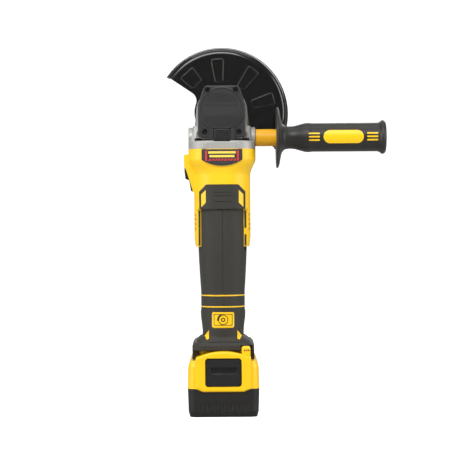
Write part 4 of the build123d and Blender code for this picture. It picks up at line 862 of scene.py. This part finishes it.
@dataclass
class WheelIcon:
    """The yellow plate at the handle's tail, with the disc symbol in its frame."""

    surface: Surface
    centre: tuple[float, float] = (0.0, -0.2236)
    plate: tuple[float, float] = (0.0118, 0.0080)
    frame: tuple[float, float] = (0.0097, 0.0058)
    corner: float = 0.0018
    line: float = 0.0006
    rim: tuple[float, float] = (0.0047, 0.0054)
    hub: tuple[float, float] = (0.0012, 0.0023)
    cover: tuple[float, float] = (0.0043, 0.0064)
    cover_start: float = 112.0
    cover_sweep: float = 78.0

    def build(self) -> list[bpy.types.Object]:
        """Lays the plate's face, then the symbol's rings and the thin frame.

        Returns:
            The new pieces.
        """
        bed = Patch(self.surface, Side.FRONT, proud=0.0004, sunk=0.0008)
        face = polygon_patch(bed, self._rounded(), 0.0009)
        patch = Patch(self.surface, Side.FRONT, proud=0.0006, sunk=0.0005)
        parts = [
            ring_patch(patch, self.centre, self.rim),
            ring_patch(patch, self.centre, self.cover, start=self.cover_start, sweep=self.cover_sweep),
            ring_patch(patch, self.centre, self.hub),
        ]
        (w, h), t = self.frame, self.line / 2
        for side in (-1, 1):
            parts.append(self._rule(patch, (side * w - t, -h), (side * w + t, h)))
            for level in (-h, h):
                near, far = sorted((0.0, side * w))
                parts.append(self._rule(patch, (near, level - t), (far, level + t)))
        return [
            finished("plate_face", face, PACK_YELLOW, Body.HOUSING),
            finished("plate_wheel_symbol", merged(parts), PRINT_BROWN, Body.HOUSING),
        ]

    def _rule(self, patch: Patch, low: tuple[float, float], high: tuple[float, float]) -> bmesh.types.BMesh:
        """A straight line of the frame, between two corners about the centre."""
        x, z = self.centre
        return polygon_patch(patch, rectangle((x + low[0], z + low[1]), (x + high[0], z + high[1])))

    def _rounded(self) -> list[tuple[float, float]]:
        """The plate's outline with its round corners."""
        (w, h), r = self.plate, self.corner
        points = []
        for quarter, (sx, sz) in enumerate(((1, 1), (-1, 1), (-1, -1), (1, -1))):
            for step in range(5):
                angle = math.radians(90.0 * quarter + 22.5 * step)
                x = sx * (w - r) + r * math.cos(angle)
                z = sz * (h - r) + r * math.sin(angle)
                points.append((self.centre[0] + x, self.centre[1] + z))
        return points


@dataclass
class GripInlays:
    """The yellow windows and tabs in the handle's rubber, and the black strips on the housing's tips."""

    panel: Surface
    handle: Surface
    tips: Surface
    window_x: tuple[float, float] = (0.0175, 0.0224)
    window_top: float = -0.0858
    window_low: float = -0.1042
    window_slants: tuple[float, float] = (0.0046, 0.0049)
    thin_strip: tuple[float, float] = (0.0211, 0.0218)
    wide_strip: tuple[float, float] = (0.0224, 0.0255)
    strip_top: float = -0.1075
    strip_low: float = -0.1450
    bridge: tuple[float, float] = (-0.1262, -0.1330)

    def build(self) -> list[bpy.types.Object]:
        """Lays the inlays on the front and the back.

        Returns:
            The new pieces.
        """
        windows, strips, tabs = [], [], []
        for side in (Side.FRONT, Side.BACK):
            for sx in (-1, 1):
                windows.append(polygon_patch(Patch(self.panel, side, 0.00035, 0.0008), self._window(sx)))
                tabs.append(polygon_patch(Patch(self.handle, side, 0.0006, 0.0012), self._tab(sx)))
                for outline in self._strips(sx):
                    strips.append(polygon_patch(Patch(self.tips, side, 0.00025, 0.0006), outline))
        return [
            finished("grip_windows", merged(windows), YELLOW, Body.HOUSING),
            finished("tip_strips", merged(strips), SOFT_GRIP, Body.HOUSING),
            finished("tail_tabs", merged(tabs), YELLOW, Body.HOUSING),
        ]

    def _window(self, sx: int) -> list[tuple[float, float]]:
        """A window's outline, with its two slanted corners."""
        inner, outer = self.window_x
        top, low = self.window_top, self.window_low
        return [
            (sx * inner, top),
            (sx * outer, top - self.window_slants[0]),
            (sx * outer, low),
            (sx * inner, low + self.window_slants[1]),
        ]

    def _strips(self, sx: int) -> list[list[tuple[float, float]]]:
        """One flank's strips: a thin inner one, and a wide outer one that the bridge parts on +X."""
        spans = [(self.strip_top, self.bridge[0]), (self.bridge[1], self.strip_low)]
        if sx < 0:
            spans = [(self.strip_top, self.strip_low)]
        pieces = [(self.thin_strip, self.strip_top, self.strip_low)]
        pieces.extend((self.wide_strip, top, low) for top, low in spans)
        return [rectangle((sx * x[0], low), (sx * x[1], top)) for x, top, low in pieces]

    @staticmethod
    def _tab(sx: int) -> list[tuple[float, float]]:
        """A tab's outline, at the narrow end of the tail."""
        corners = ((0.0152, -0.2349), (0.0198, -0.2405), (0.0176, -0.2446), (0.0150, -0.2436))
        return [(sx * x, z) for x, z in corners]


@dataclass
class LidRelief:
    """The fine upright ribs on the gear cover's round face, and a row of plain dashes."""

    surface: Surface
    centre: tuple[float, float] = (0.0, -0.0005)
    radius: float = 0.0200
    pitch: float = 0.0019
    rib: float = 0.0007
    bands: tuple[tuple[float, float], ...] = ((-0.0175, -0.0065), (0.0085, 0.0175))
    margin: float = 0.0006
    shortest: float = 0.002
    dashes: int = 6
    dash_pitch: float = 0.0058
    dash_level: float = 0.0048
    dash: tuple[float, float] = (0.0036, 0.0008)

    def build(self) -> list[bpy.types.Object]:
        """Lays the ribs and the dashes.

        Returns:
            The new piece.
        """
        patch = Patch(self.surface, Side.FRONT, proud=0.00055, sunk=0.0003)
        parts = []
        count = int(self.radius / self.pitch)
        for i in range(-count, count + 1):
            x = i * self.pitch
            reach = math.sqrt(self.radius**2 - x**2) - self.margin
            for low, high in self.bands:
                bottom, top = max(low, -reach), min(high, reach)
                if top - bottom > self.shortest:
                    parts.append(self._block(patch, x, (bottom + top) / 2, (self.rib, top - bottom)))
        for i in range(self.dashes):
            x = (i - (self.dashes - 1) / 2) * self.dash_pitch
            parts.append(self._block(patch, x, self.dash_level, self.dash))
        return [finished("lid_ribs", merged(parts), LID_BLACK, Body.HOUSING)]

    def _block(self, patch: Patch, x: float, z: float, size: tuple[float, float]) -> bmesh.types.BMesh:
        """A small raised block about a point of the round face."""
        w, h = size[0] / 2, size[1] / 2
        x, z = x + self.centre[0], z + self.centre[1]
        return polygon_patch(patch, rectangle((x - w, z - h), (x + w, z + h)), 0.003)


@dataclass
class GaugeLamps:
    """The charge lamps beside the gauge button."""

    surface: Surface
    count: int = 3
    first: float = 0.0216
    pitch: float = 0.0023
    width: float = 0.0015
    low: float = -0.2564
    high: float = -0.2548

    def build(self) -> list[bpy.types.Object]:
        """Lays the small lamps on the pack's corner.

        Returns:
            The new piece.
        """
        patch = Patch(self.surface, Side.FRONT, proud=0.0002, sunk=0.0004)
        parts = []
        for i in range(self.count):
            x = self.first + i * self.pitch
            outline = rectangle((x, self.low), (x + self.width, self.high))
            parts.append(polygon_patch(patch, outline, 0.0008))
        return [finished("gauge_lamps", merged(parts), LAMP, Body.BATTERY)]


# ------------------------------------------------------------------ studio
@dataclass(frozen=True)
class SoftBox:
    """An area light that looks at the tool's middle."""

    name: str
    place: tuple[float, float, float]
    size: tuple[float, float]
    power: float


SOFT_BOXES = (
    SoftBox("key_box", (-0.35, -1.75, 1.35), (1.5, 0.9), 34.0),
    SoftBox("left_box", (-1.45, -0.75, 0.2), (0.5, 1.6), 15.0),
    SoftBox("right_box", (1.45, -0.65, 0.2), (0.4, 1.6), 15.0),
    SoftBox("top_box", (0.0, -0.1, 1.6), (1.6, 0.8), 8.0),
    SoftBox("back_box", (0.3, 1.7, 0.8), (1.6, 1.0), 12.0),
)


@dataclass
class Studio:
    """Camera, lights and the pale sweep that the tool stands on."""

    floor: float
    target: Vector = field(default_factory=lambda: Vector((0.0027, -0.05, -0.1231)))
    distance: float = 1.9
    roll: float = math.radians(0.4)
    view_width: float = 0.4838
    sensor: float = 36.0
    floor_radius: float = 2.2
    curve: tuple[tuple[float, float], ...] = ((0.25, 0.03), (0.22, 0.1), (0.15, 0.2), (0.06, 0.3), (0.0, 1.6))
    paper_shade: float = 0.5
    paper_glow: float = 0.86
    room_light: float = 0.28

    def build(self) -> None:
        """Sets up the whole stage."""
        self._camera()
        self._sweep()
        self._lights()
        self._display()

    def _camera(self) -> None:
        """A level camera in front of the tool."""
        data = bpy.data.cameras.new("camera")
        data.sensor_width = self.sensor
        data.lens = self.sensor * self.distance / self.view_width
        data.clip_end = 20.0
        camera = bpy.data.objects.new("camera", data)
        camera.location = self.target - Vector((0.0, self.distance, 0.0))
        level = Matrix.Rotation(math.pi / 2, 3, "X")
        camera.rotation_euler = (level @ Matrix.Rotation(-self.roll, 3, "Z")).to_euler()
        bpy.context.scene.collection.objects.link(camera)
        bpy.context.scene.camera = camera

    def _sweep(self) -> None:
        """A floor that curves up into a backdrop all round."""
        mesh = bmesh.new()
        bmesh.ops.create_circle(mesh, cap_ends=True, radius=self.floor_radius, segments=96)
        edges = [e for e in mesh.edges if e.is_boundary]
        height = 0.0
        for grow, rise in self.curve:
            made = bmesh.ops.extrude_edge_only(mesh, edges=edges)
            verts = [g for g in made["geom"] if isinstance(g, bmesh.types.BMVert)]
            edges = [g for g in made["geom"] if isinstance(g, bmesh.types.BMEdge)]
            height += rise
            for vert in verts:
                out = Vector((vert.co.x, vert.co.y, 0.0)).normalized()
                vert.co += out * grow
                vert.co.z = height
        bmesh.ops.recalc_face_normals(mesh, faces=mesh.faces[:])
        for face in mesh.faces:
            face.smooth = True
        data = bpy.data.meshes.new("studio_sweep")
        mesh.to_mesh(data)
        mesh.free()
        piece = bpy.data.objects.new("studio_sweep", data)
        piece.location = (0.0, 0.0, self.floor)
        bpy.context.scene.collection.objects.link(piece)
        data.materials.append(self._paper())
        piece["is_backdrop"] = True

    def _paper(self) -> bpy.types.Material:
        """Bright paper to the camera, and dimmer paper to the tool's reflections."""
        material = bpy.data.materials.new("pale_paper")
        material.use_nodes = True
        tree = material.node_tree
        shader = tree.nodes["Principled BSDF"]
        shader.inputs["Base Color"].default_value = (*[self.paper_shade] * 3, 1.0)
        shader.inputs["Roughness"].default_value = 0.9
        shader.inputs["Specular IOR Level"].default_value = 0.1
        glow = tree.nodes.new("ShaderNodeEmission")
        glow.inputs["Strength"].default_value = self.paper_glow
        both = tree.nodes.new("ShaderNodeAddShader")
        pick = tree.nodes.new("ShaderNodeMixShader")
        path = tree.nodes.new("ShaderNodeLightPath")
        out = tree.nodes["Material Output"]
        tree.links.new(shader.outputs["BSDF"], both.inputs[0])
        tree.links.new(glow.outputs["Emission"], both.inputs[1])
        tree.links.new(path.outputs["Is Camera Ray"], pick.inputs["Fac"])
        tree.links.new(shader.outputs["BSDF"], pick.inputs[1])
        tree.links.new(both.outputs["Shader"], pick.inputs[2])
        tree.links.new(pick.outputs["Shader"], out.inputs["Surface"])
        return material

    def _area(self, box: SoftBox) -> None:
        """Hangs one soft box."""
        data = bpy.data.lights.new(box.name, "AREA")
        data.shape = "RECTANGLE"
        data.size, data.size_y = box.size
        data.energy = box.power
        lamp = bpy.data.objects.new(box.name, data)
        lamp.location = box.place
        lamp.rotation_euler = (self.target - Vector(box.place)).to_track_quat("-Z", "Y").to_euler()
        bpy.context.scene.collection.objects.link(lamp)

    def _lights(self) -> None:
        """Hangs the soft boxes and fills the room with even light."""
        for box in SOFT_BOXES:
            self._area(box)
        world = bpy.data.worlds.new("soft_room")
        bpy.context.scene.world = world
        world.use_nodes = True
        background = world.node_tree.nodes["Background"]
        background.inputs["Color"].default_value = (1.0, 1.0, 1.0, 1.0)
        background.inputs["Strength"].default_value = self.room_light

    @staticmethod
    def _display() -> None:
        """Plain display of colours, so that a white floor reads as white."""
        settings = bpy.context.scene.view_settings
        settings.view_transform = "Standard"
        settings.look = "None"
        settings.exposure = 0.0


def main() -> None:
    """Builds the tool's looks in order and reports each piece."""
    logging.basicConfig(level=logging.INFO, format="%(name)s %(message)s")
    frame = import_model()
    cad_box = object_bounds()
    nodes = frame["nodes"]
    Studio(floor=cad_box[0][2]).build()
    CadDress(nodes).dress()
    housing = Surface([nodes["motor_housing"], nodes["badge"]])
    panels = Surface([nodes["grip_panels"]])
    handle = Surface([nodes["handle_left"], nodes["handle_right"], nodes["icon_plate"]])
    builders: list[Callable[[], list[bpy.types.Object]]] = [
        HeadBadge(housing).build,
        WheelIcon(handle).build,
        GripInlays(panels, handle, Surface([nodes["motor_housing"]])).build,
        LidRelief(Surface([nodes["gear_cover"]])).build,
        GaugeLamps(Surface([nodes["battery_cover"]])).build,
    ]
    for build in builders:
        for piece in build():
            log.info("made %s", piece.name)


if __name__ == "__main__":
    main()
